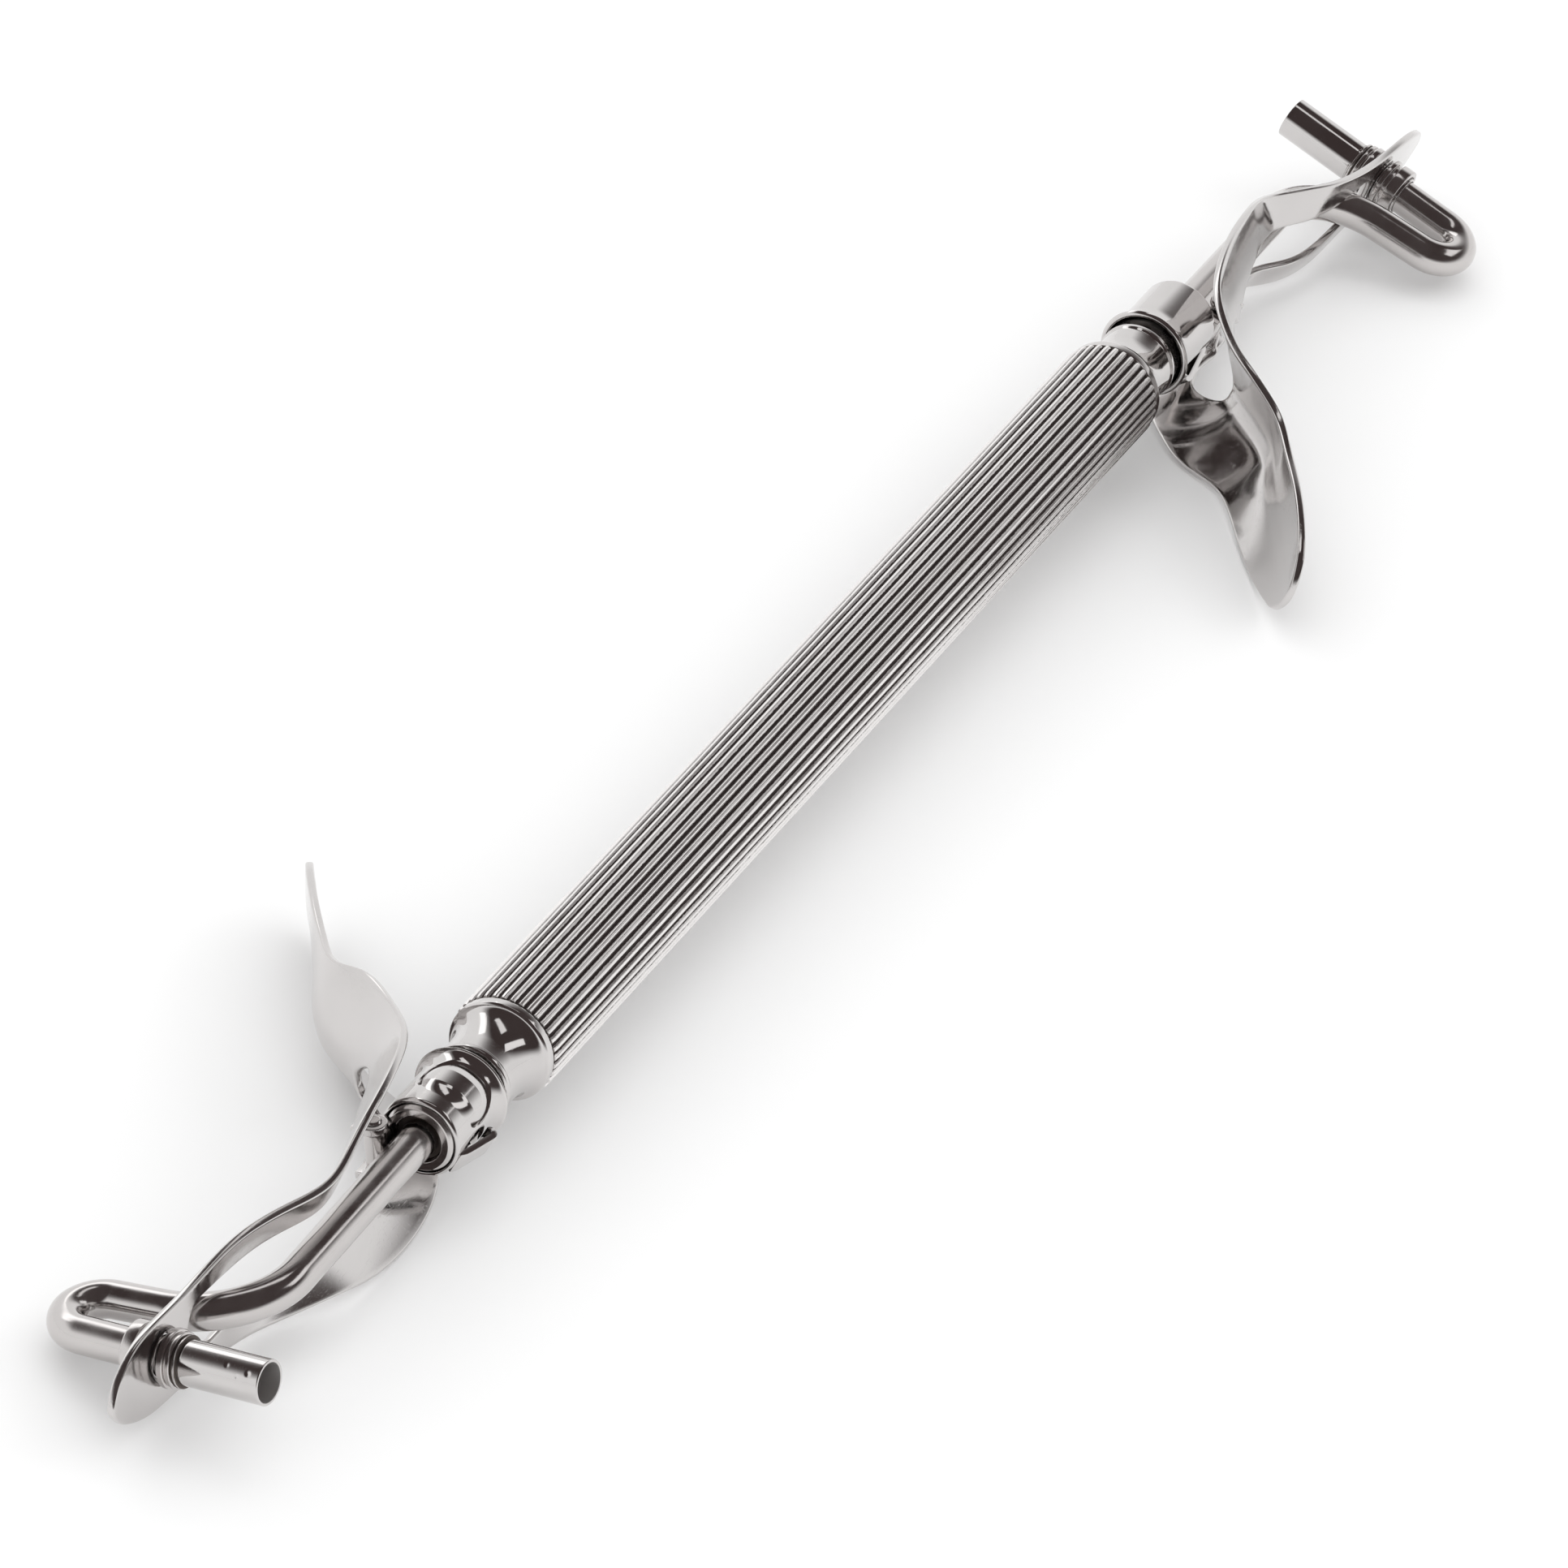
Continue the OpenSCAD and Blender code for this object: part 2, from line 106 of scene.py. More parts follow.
# %% Helpers that make pieces
def new_piece(name, points, faces, place, angle=35.0):
    """Object from points in millimetres in the frame that place carries to the shared frame."""
    m = np.array(place)
    pts = (np.asarray(points, float) @ m[:3, :3].T + m[:3, 3]) * 0.001
    mesh = bpy.data.meshes.new(name)
    mesh.from_pydata([tuple(p) for p in pts], [], [tuple(f) for f in faces])
    bm = bmesh.new()
    bm.from_mesh(mesh)
    bmesh.ops.remove_doubles(bm, verts=bm.verts, dist=1e-7)
    bmesh.ops.dissolve_degenerate(bm, dist=1e-8, edges=bm.edges)
    bmesh.ops.recalc_face_normals(bm, faces=bm.faces)
    bm.to_mesh(mesh)
    bm.free()
    finish_mesh(mesh, angle)
    piece = bpy.data.objects.new(name, mesh)
    bpy.context.scene.collection.objects.link(piece)
    return piece


def finish_mesh(mesh, angle):
    """Smooth shading, with a hard edge where faces meet at more than the angle."""
    mesh.polygons.foreach_set("use_smooth", [True] * len(mesh.polygons))
    mesh.set_sharp_from_angle(angle=math.radians(angle))


def bake(piece, angle=35.0):
    """Applies the modifiers: the evaluated mesh becomes the piece's own."""
    dg = bpy.context.evaluated_depsgraph_get()
    mesh = bpy.data.meshes.new_from_object(piece.evaluated_get(dg))
    piece.modifiers.clear()
    piece.data = mesh
    finish_mesh(mesh, angle)
    return piece


def bevel(piece, width, limit=50.0):
    """Rounds the edges that are sharper than the limit, in degrees, and bakes the result."""
    mod = piece.modifiers.new("bevel", "BEVEL")
    mod.width, mod.segments = width / 1000, 3
    mod.limit_method, mod.angle_limit = "ANGLE", math.radians(limit)
    return bake(piece, 60)


def fit_out(piece, body, slot, material, *nodes):
    """Gives a piece its steel, the body it rides on and the solids it stands for."""
    piece.data.materials.clear()
    piece.data.materials.append(material)
    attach(piece, body)
    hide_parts(*nodes)
    print(f"{piece.name}: {len(piece.data.polygons)} faces on {body}")


def rounded(profile, radii, steps=6):
    """Outline with each inner corner replaced by an arc of about its radius."""
    p = [np.array(q, float) for q in profile]
    out = [p[0]]
    for i in range(1, len(p) - 1):
        r = radii[i] if isinstance(radii, (list, tuple)) else radii
        a, b = p[i - 1] - p[i], p[i + 1] - p[i]
        la, lb = np.linalg.norm(a), np.linalg.norm(b)
        half_angle = math.acos(np.clip(a @ b / la / lb, -1, 1)) / 2
        cut = min(r / max(math.tan(half_angle), 1e-6), la * 0.48, lb * 0.48)
        if r <= 0 or cut < 1e-4:
            out.append(p[i])
            continue
        s, e = p[i] + a / la * cut, p[i] + b / lb * cut
        out += [(1 - t) ** 2 * s + 2 * t * (1 - t) * p[i] + t * t * e
                for t in np.linspace(0, 1, steps)]
    return np.array(out + [p[-1]])


def tube_faces(rows, around):
    """Quads between rings of points that lie one behind the other."""
    return [(i * around + j, i * around + (j + 1) % around, (i + 1) * around + (j + 1) % around,
             (i + 1) * around + j) for i in range(rows - 1) for j in range(around)]


def lathe(profile, around=160, offset=None):
    """Revolves (x, radius) rows about x. offset(x, radius, angle) can push points in or out."""
    prof = np.asarray(profile, float)
    ang = np.arange(around) * 2 * math.pi / around
    x = np.repeat(prof[:, 0], around)
    r = np.repeat(prof[:, 1], around)
    th = np.tile(ang, len(prof))
    if offset is not None:
        r = r + offset(x, r, th)
    pts = np.c_[x, r * np.cos(th), r * np.sin(th)]
    faces = tube_faces(len(prof), around)
    if min(prof[0, 1], prof[-1, 1]) > 1e-6:  # an outline that stays clear of the axis is closed
        last = (len(prof) - 1) * around
        faces += [(last + j, last + (j + 1) % around, (j + 1) % around, j) for j in range(around)]
    return pts, faces


# %% [markdown]
# ## Steel
# All of it is stainless steel, so the finishes differ only in how they were worked: mirror
# polished, drawn wire, cut flutes, and plain turned inner parts. A Principled shader with Metallic
# 1 does the steel itself. What wear adds is shared by all finishes and goes in one shader group:
# hairline scratches that run in two directions, soft smudges, and the slight waviness that hand
# polishing leaves.


# %% Helpers that make nodes
def maths(tree):
    """Returns a function that adds a math node to the tree and gives back its output."""
    def op(kind, *values, clamp=False):
        node = tree.nodes.new("ShaderNodeMath")
        node.operation, node.use_clamp = kind, clamp
        for socket, value in zip(node.inputs, values):
            if isinstance(value, (int, float)):
                socket.default_value = value
            else:
                tree.links.new(value, socket)
        return node.outputs[0]
    return op


def mixer(tree):
    """The same for a node that mixes colours."""
    def mix(share, a, b, blend="MIX"):
        node = tree.nodes.new("ShaderNodeMix")
        node.data_type, node.blend_type = "RGBA", blend
        for socket, value in ((node.inputs[0], share), (node.inputs[6], a), (node.inputs[7], b)):
            if isinstance(value, tuple):
                socket.default_value = (*value, 1.0)
            elif isinstance(value, float):
                socket.default_value = value
            else:
                tree.links.new(value, socket)
        return node.outputs[2]
    return mix


def fade_between(tree, value, low, high, soft=True):
    """0 below low, 1 above high, with a soft or a straight run between them."""
    ramp = tree.nodes.new("ShaderNodeMapRange")
    ramp.interpolation_type = "SMOOTHSTEP" if soft else "LINEAR"
    ramp.inputs["From Min"].default_value = low
    ramp.inputs["From Max"].default_value = high
    tree.links.new(value, ramp.inputs["Value"])
    return ramp.outputs[0]


def attribute(tree, name):
    node = tree.nodes.new("ShaderNodeAttribute")
    node.attribute_name = name
    return node.outputs["Fac"]


def add_sockets(tree, inputs, outputs=()):
    """Named inputs with their usual values, then the outputs."""
    for name, kind, value in inputs:
        socket = tree.interface.new_socket(name=name, in_out="INPUT",
                                           socket_type="NodeSocket" + kind)
        if value is not None:
            socket.default_value = value
    for name, kind in outputs:
        tree.interface.new_socket(name=name, in_out="OUTPUT", socket_type="NodeSocket" + kind)
    return tree.nodes.new("NodeGroupInput").outputs, tree.nodes.new("NodeGroupOutput").inputs


# %% Shader group: hand polish
def build_polish_group():
    g = bpy.data.node_groups.new("hand_polish", "ShaderNodeTree")
    n, link, op = g.nodes, g.links.new, maths(g)
    usual = (("Scratch Size", 1.0), ("Scratch Strength", 0.5), ("Smudge Size", 1.0),
             ("Wave Size", 1.0), ("Base Rough", 0.08), ("Smudge Rough", 0.1),
             ("Scratch Rough", 0.2))
    results = ("Roughness", "Height", "Tone", "Grain")
    given, made = add_sockets(g, [(name, "Float", value) for name, value in usual],
                              [(name, "Float") for name in results])
    where = n.new("ShaderNodeTexCoord").outputs["Object"]

    def noise(scale, vector, size, detail, rough=0.55):
        t = n.new("ShaderNodeTexNoise")
        t.inputs["Detail"].default_value = detail
        t.inputs["Roughness"].default_value = rough
        link(vector, t.inputs["Vector"])
        link(op("DIVIDE", scale, given[size]), t.inputs["Scale"])
        return t.outputs["Fac"]

    # two sets of hairlines, each a noise that is squeezed across its own direction
    masks = []
    for turn_by, squeeze in (((20, 12, 35), (1, 10, 10)), ((-35, 60, -50), (10, 1, 10))):
        turned = n.new("ShaderNodeMapping")
        turned.inputs["Rotation"].default_value = [math.radians(a) for a in turn_by]
        turned.inputs["Scale"].default_value = squeeze
        link(where, turned.inputs["Vector"])
        hairs = noise(900.0, turned.outputs[0], "Scratch Size", 2.0)
        masks.append(fade_between(g, hairs, 0.61, 0.74))
    scratch = op("MULTIPLY", op("MAXIMUM", *masks), given["Scratch Strength"])
    smudge = noise(260.0, where, "Smudge Size", 5.0, 0.6)
    smudge_mask = fade_between(g, smudge, 0.38, 0.72, soft=False)
    wave = noise(300.0, where, "Wave Size", 1.0, 0.4)
    rough = op("ADD", given["Base Rough"], op("MULTIPLY", smudge_mask, given["Smudge Rough"]))
    rough = op("ADD", rough, op("MULTIPLY", scratch, given["Scratch Rough"]), clamp=True)
    link(rough, made["Roughness"])
    link(op("SUBTRACT", wave, op("MULTIPLY", scratch, 0.05)), made["Height"])
    link(noise(2600.0, where, "Scratch Size", 2.0), made["Grain"])
    link(op("ADD", 0.93, op("MULTIPLY", smudge, 0.12)), made["Tone"])
    return g


polish_group = build_polish_group()
print("group sockets:", [s.name for s in polish_group.interface.items_tree])

# %% [markdown]
# Each finish places the group with its own values. Three vertex attributes steer it: one marks rims
# and ridges, which a painted highlight lightens, one marks corners, slits and groove floors, which
# painted shade darkens, and "dull" marks a drawn bore. Attributes stay with the mesh, so they hold
# in every pose.


# %% Finishes
def steel(name, color, dark, rough, smudge, scratch, scratch_size, wave_bump, wave_size=1.0):
    m = bpy.data.materials.new(name)
    m.use_nodes = True
    tree = m.node_tree
    n, link, op, mix = tree.nodes, tree.links.new, maths(tree), mixer(tree)
    bsdf = n["Principled BSDF"]
    bsdf.inputs["Metallic"].default_value = 1.0
    polish = n.new("ShaderNodeGroup")
    polish.node_tree = polish_group
    for k, v in (("Scratch Size", scratch_size), ("Scratch Strength", scratch),
                 ("Wave Size", wave_size), ("Base Rough", rough), ("Smudge Rough", smudge),
                 ("Scratch Rough", 0.22)):
        polish.inputs[k].default_value = v
    painted_highlight, painted_shade, dull = (attribute(tree, k) for k in ("painted_highlight", "painted_shade", "dull"))

    toned = mix(1.0, color, polish.outputs["Tone"], "MULTIPLY")
    # painted highlight: marked rims and ridges get a colour a tenth lighter
    with_highlight = mix(painted_highlight, toned, tuple(min(1.0, c * 1.10) for c in color))
    # painted shade: the grain breaks up the edge of the painted shade
    shade_share = op("MULTIPLY_ADD", polish.outputs["Grain"], 0.55, op("SUBTRACT", painted_shade, 0.26))
    shade_share = fade_between(tree, shade_share, 0.42, 0.62)
    link(mix(shade_share, with_highlight, dark), bsdf.inputs["Base Color"])
    shaded_rough = op("MULTIPLY_ADD", shade_share, 0.35, polish.outputs["Roughness"], clamp=True)
    link(op("MULTIPLY_ADD", dull, 0.45, shaded_rough), bsdf.inputs["Roughness"])
    bump = n.new("ShaderNodeBump")
    bump.inputs["Strength"].default_value = 1.0
    bump.inputs["Distance"].default_value = wave_bump
    link(polish.outputs["Height"], bump.inputs["Height"])
    link(bump.outputs[0], bsdf.inputs["Normal"])
    return m


# the second colour of each finish is its painted shade, mixed in at marked corners and grooves
BRIGHT, BRIGHT_SHADE = (0.64, 0.62, 0.612), (0.16, 0.14, 0.13)
DRAWN, DRAWN_SHADE = (0.61, 0.585, 0.575), (0.13, 0.11, 0.10)
CUT, CUT_SHADE = (0.80, 0.78, 0.77), (0.07, 0.055, 0.052)
TURNED, TURNED_SHADE = (0.50, 0.48, 0.47), (0.08, 0.07, 0.065)
# roughness, smudges, scratches, scratch size, bump in metres, wave size
polished_steel = steel("polished_steel", BRIGHT, BRIGHT_SHADE, 0.055, 0.07, 0.22, 1.0, 0.00005, 3.0)
lever_steel = steel("stamped_steel", BRIGHT, BRIGHT_SHADE, 0.09, 0.12, 0.30, 1.2, 0.00010, 4.0)
wire_steel = steel("wire_steel", DRAWN, DRAWN_SHADE, 0.10, 0.12, 0.30, 0.8, 0.00005, 2.0)
fluted_steel = steel("fluted_steel", CUT, CUT_SHADE, 0.20, 0.14, 0.35, 0.7, 0.00003, 0.6)
inner_steel = steel("inner_steel", TURNED, TURNED_SHADE, 0.24, 0.18, 0.5, 0.6, 0.00004)
print("finishes:", [m.name for m in bpy.data.materials if m.use_nodes])


# %% Marking rims for painted highlight and corners for painted shade
def mark(piece, name, values):
    """Stores one value from 0 to 1 at each point of the mesh."""
    att = piece.data.attributes.new(name, "FLOAT", "POINT")
    att.data.foreach_set("value", np.clip(np.asarray(values, np.float32), 0, 1))


def own_polar(piece, place):
    """Place along x, radius and angle of each point, in the piece's own frame."""
    co = np.zeros(len(piece.data.vertices) * 3)
    piece.data.vertices.foreach_get("co", co)
    m = np.array(place.inverted())
    x, y, z = ((co.reshape(-1, 3) * 1000) @ m[:3, :3].T + m[:3, 3]).T
    return x, np.hypot(y, z), np.arctan2(z, y)


def near(value, middle, width):
    """1 at the middle, falling to 0 on both sides like a bell."""
    return np.exp(-((value - middle) / width) ** 2)


def soft_line(values, weights):
    """A row of values averaged with its neighbours; the ends are held."""
    weights = np.asarray(weights) / np.sum(weights)
    return np.convolve(np.pad(values, len(weights) // 2, "edge"), weights, "valid")


# %% [markdown]
# ## Fluted grip
# The real grip is a steel tube with 36 straight flutes. One rib repeats round the tube, which is
# just what Geometry Nodes are for: a flat grid is bent into one rib, instanced 36 times about x,
# and realised. The same ribs could come from a boolean with 36 cutters, but that leaves no clean,
# rounded ends.


# %% Geometry Nodes tree: ribs round a bar
def build_rib_tree():
    t = bpy.data.node_groups.new("ribs_round_a_bar", "GeometryNodeTree")
    n, link, op = t.nodes, t.links.new, maths(t)
    given, made = add_sockets(
        t, (("Geometry", "Geometry", None), ("Length", "Float", 0.0945),
            ("Radius", "Float", 0.00375), ("Count", "Int", 36),
            ("Groove Half Width", "Float", 0.00027), ("Groove Depth", "Float", 0.0002),
            ("End Round", "Float", 0.0003), ("Axis Height", "Float", 0.0057),
            ("Material", "Material", None)),
        (("Geometry", "Geometry"),))

    def combine(**parts):
        node = n.new("ShaderNodeCombineXYZ")
        for name, value in parts.items():
            link(value, node.inputs[name])
        return node.outputs[0]

    grid = n.new("GeometryNodeMeshGrid")
    for k, v in (("Size X", 1.0), ("Size Y", 1.0), ("Vertices X", 21), ("Vertices Y", 41)):
        grid.inputs[k].default_value = v
    split = n.new("ShaderNodeSeparateXYZ")
    link(n.new("GeometryNodeInputPosition").outputs[0], split.inputs[0])
    u, w = split.outputs["X"], split.outputs["Y"]
    # across one pitch: half a groove at both edges; soft shoulders give each rib a bright line
    pitch = op("DIVIDE", 2 * math.pi, given["Count"])
    angle = op("MULTIPLY", u, pitch)
    arc = op("MULTIPLY", op("SUBTRACT", 0.5, op("ABSOLUTE", u)),
             op("MULTIPLY", pitch, given["Radius"]))
    share = op("DIVIDE", arc, given["Groove Half Width"], clamp=True)
    wave = op("MULTIPLY_ADD", op("COSINE", op("MULTIPLY", share, math.pi)), 0.5, 0.5)
    depth = op("MULTIPLY", wave, given["Groove Depth"])
    # along the bar: rows crowd towards both ends, where the edge is rounded
    along = op("MULTIPLY", op("SINE", op("MULTIPLY", w, math.pi)), 0.5)
    x = op("MULTIPLY", along, given["Length"])
    to_end = op("SUBTRACT", op("MULTIPLY", given["Length"], 0.5), op("ABSOLUTE", x))
    k = op("SUBTRACT", 1.0, op("DIVIDE", to_end, given["End Round"]), clamp=True)
    drop = op("SUBTRACT", 1.0, op("SQRT", op("SUBTRACT", 1.0, op("MULTIPLY", k, k))))
    drop = op("MULTIPLY", drop, given["End Round"])
    radius = op("SUBTRACT", op("SUBTRACT", given["Radius"], depth), drop)
    # the very last row closes the end towards the bore
    last = op("GREATER_THAN", op("ABSOLUTE", w), 0.499)
    radius = op("SUBTRACT", radius, op("MULTIPLY", last, 0.0004))
    bent = combine(X=x, Y=op("MULTIPLY", radius, op("COSINE", angle)),
                   Z=op("MULTIPLY", radius, op("SINE", angle)))
    shape = grid.outputs["Mesh"]
    # painted shade in the groove floors and a painted highlight on the lands between them
    for name, value in (("painted_shade", op("POWER", wave, 1.5)),
                        ("painted_highlight", op("SUBTRACT", 1.0, wave, clamp=True))):
        store = n.new("GeometryNodeStoreNamedAttribute")
        store.data_type, store.domain = "FLOAT", "POINT"
        store.inputs["Name"].default_value = name
        link(shape, store.inputs["Geometry"])
        link(value, store.inputs["Value"])
        shape = store.outputs[0]
    rib = n.new("GeometryNodeSetPosition")
    link(shape, rib.inputs["Geometry"])
    link(bent, rib.inputs["Position"])
    # one rib per point, each turned by one more pitch
    points = n.new("GeometryNodeMeshLine")
    points.inputs["Offset"].default_value = (0, 0, 0)
    link(given["Count"], points.inputs["Count"])
    copies = n.new("GeometryNodeInstanceOnPoints")
    link(points.outputs[0], copies.inputs["Points"])
    link(rib.outputs[0], copies.inputs["Instance"])
    index = n.new("GeometryNodeInputIndex").outputs[0]
    link(combine(X=op("MULTIPLY", index, pitch)), copies.inputs["Rotation"])
    shape = copies.outputs[0]
    for kind in ("RealizeInstances", "MergeByDistance", "Transform", "SetShadeSmooth",
                 "SetMaterial"):
        node = n.new("GeometryNode" + kind)
        link(shape, node.inputs["Geometry"])
        shape = node.outputs[0]
        if kind == "MergeByDistance":
            node.inputs["Distance"].default_value = 1e-7
        if kind == "Transform":
            link(combine(Z=given["Axis Height"]), node.inputs["Translation"])
        if kind == "SetMaterial":
            link(given["Material"], node.inputs["Material"])
    link(shape, made[0])
    return t


rib_tree = build_rib_tree()


def run_tree(name, tree, values):
    """Runs a tree on an empty mesh and keeps the result as a plain mesh."""
    holder = bpy.data.objects.new(name, bpy.data.meshes.new(name))
    bpy.context.scene.collection.objects.link(holder)
    mod = holder.modifiers.new("nodes", "NODES")
    mod.node_group = tree
    for s in tree.interface.items_tree:
        if s.item_type == "SOCKET" and s.in_out == "INPUT" and s.name in values:
            mod[s.identifier] = values[s.name]
    return bake(holder, 50)


grip_values = {"Length": GRIP_LEN / 1000, "Radius": GRIP_D / 2000, "Count": FLUTES,
               "Axis Height": AXIS_HEIGHT / 1000, "Material": fluted_steel}
grip = run_tree("fluted_grip", rib_tree, grip_values)
fit_out(grip, "handle", "fluted_steel", fluted_steel, "grip_tube")

# %% [markdown]
# ## Turned pieces
# The bell-shaped end cap, the ferrule's nose, the tube and its rings are all turned on a lathe in
# real life, and a revolved outline makes them the same way. Every corner of the outline gets a
# small arc, because a real edge catches a thin line of light.

# %% End caps
WAIST_R, WAIST_X, FLARE = 2.72, 3.3, 2.6
bell = [(-0.25, 1.5), (-0.25, 2.6), (-0.25, 3.45), (0.0, 3.62), (0.55, 3.62)]
bell += [(WAIST_X - FLARE * math.cos(a), WAIST_R + 0.88 * (1 - math.sin(a)))
         for a in np.linspace(0.1, math.pi / 2, 44)]
bell += [(4.4, WAIST_R), (4.62, 2.84), (4.9, 2.84), (5.02, 2.66), (5.02, 2.1), (5.6, 2.1),
         (5.6, 1.5)]
bell_radii = [0, 0.05, 0.16, 0.18, 0.12] + [0] * 44 + [0.15, 0.1, 0.1, 0.06, 0.05, 0.05, 0]
bell_outline = rounded(bell, bell_radii, 5)
for end in ENDS:
    place = end_place(end, False)
    cap = new_piece(f"bell_cap_{end}", *lathe(bell_outline, 240), place, 50)
    x, _, _ = own_polar(cap, place)
    # painted shade in the inner step and where the cap meets the grip, painted highlight on the rim
    mark(cap, "painted_shade", near(x, 5.2, 0.28) * 0.8 + (x < 0.02) * 0.6)
    mark(cap, "painted_highlight", near(x, 0.5, 0.3) * 0.7)
    fit_out(cap, "handle", "polished_steel", polished_steel, f"end_cap_{end}")

# %% [markdown]
# ## Ferrule
# Behind the lock ring hides the ferrule. Only its rounded nose shows, with a narrow gap round the
# wire, and the lug that carries the lever's pivot pin. The nose is turned, the lug is a small
# bevelled block.


# %% Ferrule
def block(name, low, high, place):
    """A small box between two corners, with its edges rounded."""
    (x0, y0, z0), (x1, y1, z1) = low, high
    pts = [(x, y, z) for x in (x0, x1) for y in (y0, y1) for z in (z0, z1)]
    faces = [(0, 1, 3, 2), (4, 6, 7, 5), (0, 4, 5, 1), (2, 3, 7, 6), (0, 2, 6, 4), (1, 5, 7, 3)]
    b = new_piece(name, pts, faces, place)
    return bevel(b, 0.08)


def join(name, parts):
    bm = bmesh.new()
    for p in parts:
        bm.from_mesh(p.data)
    mesh = bpy.data.meshes.new(name)
    bm.to_mesh(mesh)
    bm.free()
    for p in parts:
        bpy.data.objects.remove(p)
    finish_mesh(mesh, 50)
    o = bpy.data.objects.new(name, mesh)
    bpy.context.scene.collection.objects.link(o)
    return o


RING_R, RING_WALL, RING_GAP = 2.81, 0.54, 0.07
FERRULE_R = RING_R - RING_WALL - RING_GAP
LUG_HALF, LUG_W, BOSS_R = 0.66, 1.28, 0.72
nose = rounded([(5.6, 1.5), (5.6, FERRULE_R), (11.35, FERRULE_R), (11.45, 2.45), (11.95, 2.45),
                (12.2, 2.2), (12.2, 1.66), (11.72, 1.6), (11.72, 1.2)],
               [0, 0.05, 0.03, 0.08, 0.22, 0.22, 0.08, 0.05, 0], 6)
boss_outline = rounded([(-LUG_W, 0.0), (-LUG_W, BOSS_R), (LUG_W, BOSS_R), (LUG_W, 0.0)], 0.1, 5)


def pivot_place(end):
    """Frame whose x runs along the lever's pivot pin."""
    return end_place(end) @ shift(*PIVOT) @ turn("Y", -90)


for end in ENDS:
    place = end_place(end, False)
    body = new_piece("nose", *lathe(nose, 160), place, 50)
    neck = block("neck", (11.9, PIVOT[1] - LUG_HALF, -LUG_W),
                 (PIVOT[0], PIVOT[1] + LUG_HALF, LUG_W), end_place(end))
    boss = new_piece("boss", *lathe(boss_outline, 64), pivot_place(end), 50)
    ferrule = join(f"ferrule_nose_{end}", [body, neck, boss])
    x, rad, _ = own_polar(ferrule, place)
    # painted shade in the gap round the wire and on the part behind the ring
    mark(ferrule, "painted_shade", (rad < 1.64) * (x < 12.05) * 0.9 + (x < 6.5) * 0.7)
    fit_out(ferrule, "handle", "inner_steel", wire_steel, f"ferrule_{end}")

# %% [markdown]
# ## Lock ring
# The ring is a rolled shell with a flared rear rim. A domed tongue is lanced out of it, with a
# fine slit round its U, and a finger tab springs from its front edge over a small window. The
# shell is a dense revolved grid, and formulas push the tongue up and the slit and window down, so
# there are no boolean seams in the polish.


# %% Lock ring
TONGUE_X, TONGUE_HALF, TONGUE_R = 8.9, 0.9, 1.75
WINDOW_X, WINDOW_HALF_X, WINDOW_HALF = 9.5, 1.1, 0.85


def ring_profile():
    """Over the rear rim, the flare and the barrel to the front lip."""
    rows = [(6.8, FERRULE_R + 0.1), (6.4, 2.78), (6.1, 2.82), (5.86, 2.9), (5.8, 3.0), (5.82, 3.14),
            (5.92, 3.25), (6.05, 3.3)]
    rows += [(7.6 - 1.5 * math.cos(a), RING_R + 0.49 * (1 - math.sin(a)))
             for a in np.linspace(0.08, 1.5, 26)]
    rows += [(x, RING_R) for x in np.arange(7.66, 11.7, 0.03)]
    rows += [(11.75 + 0.25 * math.sin(a), 2.56 + 0.25 * math.cos(a))
             for a in np.linspace(0.1, math.pi / 2, 9)]
    return rows + [(11.98, 2.53), (11.6, 2.5), (11.3, FERRULE_R + 0.1)]


def past_tongue(x, th):
    """Distance past the tongue's outline, a stadium across the ring a quarter turn from the tab."""
    across = np.maximum(np.abs((th - math.pi / 2) * RING_R) - TONGUE_HALF, 0.0)
    return np.hypot(across, x - TONGUE_X) - TONGUE_R


def slit_mask(x, th):
    """1 along the lanced U round the tongue, falling to 0 beside it and at its open end."""
    return near(past_tongue(x, th), 0.09, 0.13) * (1 - np.clip((x - 9.6) / 0.5, 0, 1))


def plateau(distance, half):
    """1 within half of the middle, with a short fall to 0."""
    return np.clip(1 - np.maximum(np.abs(distance) - half, 0) / 0.12, 0, 1)


def ring_relief(x, r, th):
    """Lifts the tongue's dome and sinks the slit round it and the window under the tab."""
    root = np.clip((x - 9.5) / 1.2, 0, 1)
    dome = 0.2 * np.clip(-past_tongue(x, th) / 0.9, 0, 1) ** 0.7 * (1 - root)
    arc = (np.mod(th + math.pi, 2 * math.pi) - math.pi) * RING_R
    window = plateau(arc, WINDOW_HALF) * plateau(x - WINDOW_X, WINDOW_HALF_X)
    return np.where(r > 2.7, dome - 0.34 * slit_mask(x, th) - 0.45 * window, 0.0)


def normals_of(line):
    """Unit normals of a line in the x y plane."""
    t = np.gradient(line, axis=0)
    t /= np.linalg.norm(t, axis=1)[:, None]
    return np.c_[-t[:, 1], t[:, 0]]


def strip(name, line, half_width, thick, place):
    """A bent strip of sheet that follows line (x, y) and is as wide as 2 half_width along z."""
    off = normals_of(line) * thick / 2
    k = len(line)
    pts = np.vstack([np.c_[line + side * off, np.full(k, z)]
                     for side in (1, -1) for z in (-half_width, half_width)])
    faces = [(a * k + i, b * k + i, b * k + i + 1, a * k + i + 1)
             for i in range(k - 1) for a, b in ((0, 1), (1, 3), (3, 2), (2, 0))]
    faces += [(0, k, 3 * k, 2 * k), (k - 1, 2 * k - 1, 4 * k - 1, 3 * k - 1)]
    return bevel(new_piece(name, pts, faces, place), 0.07)


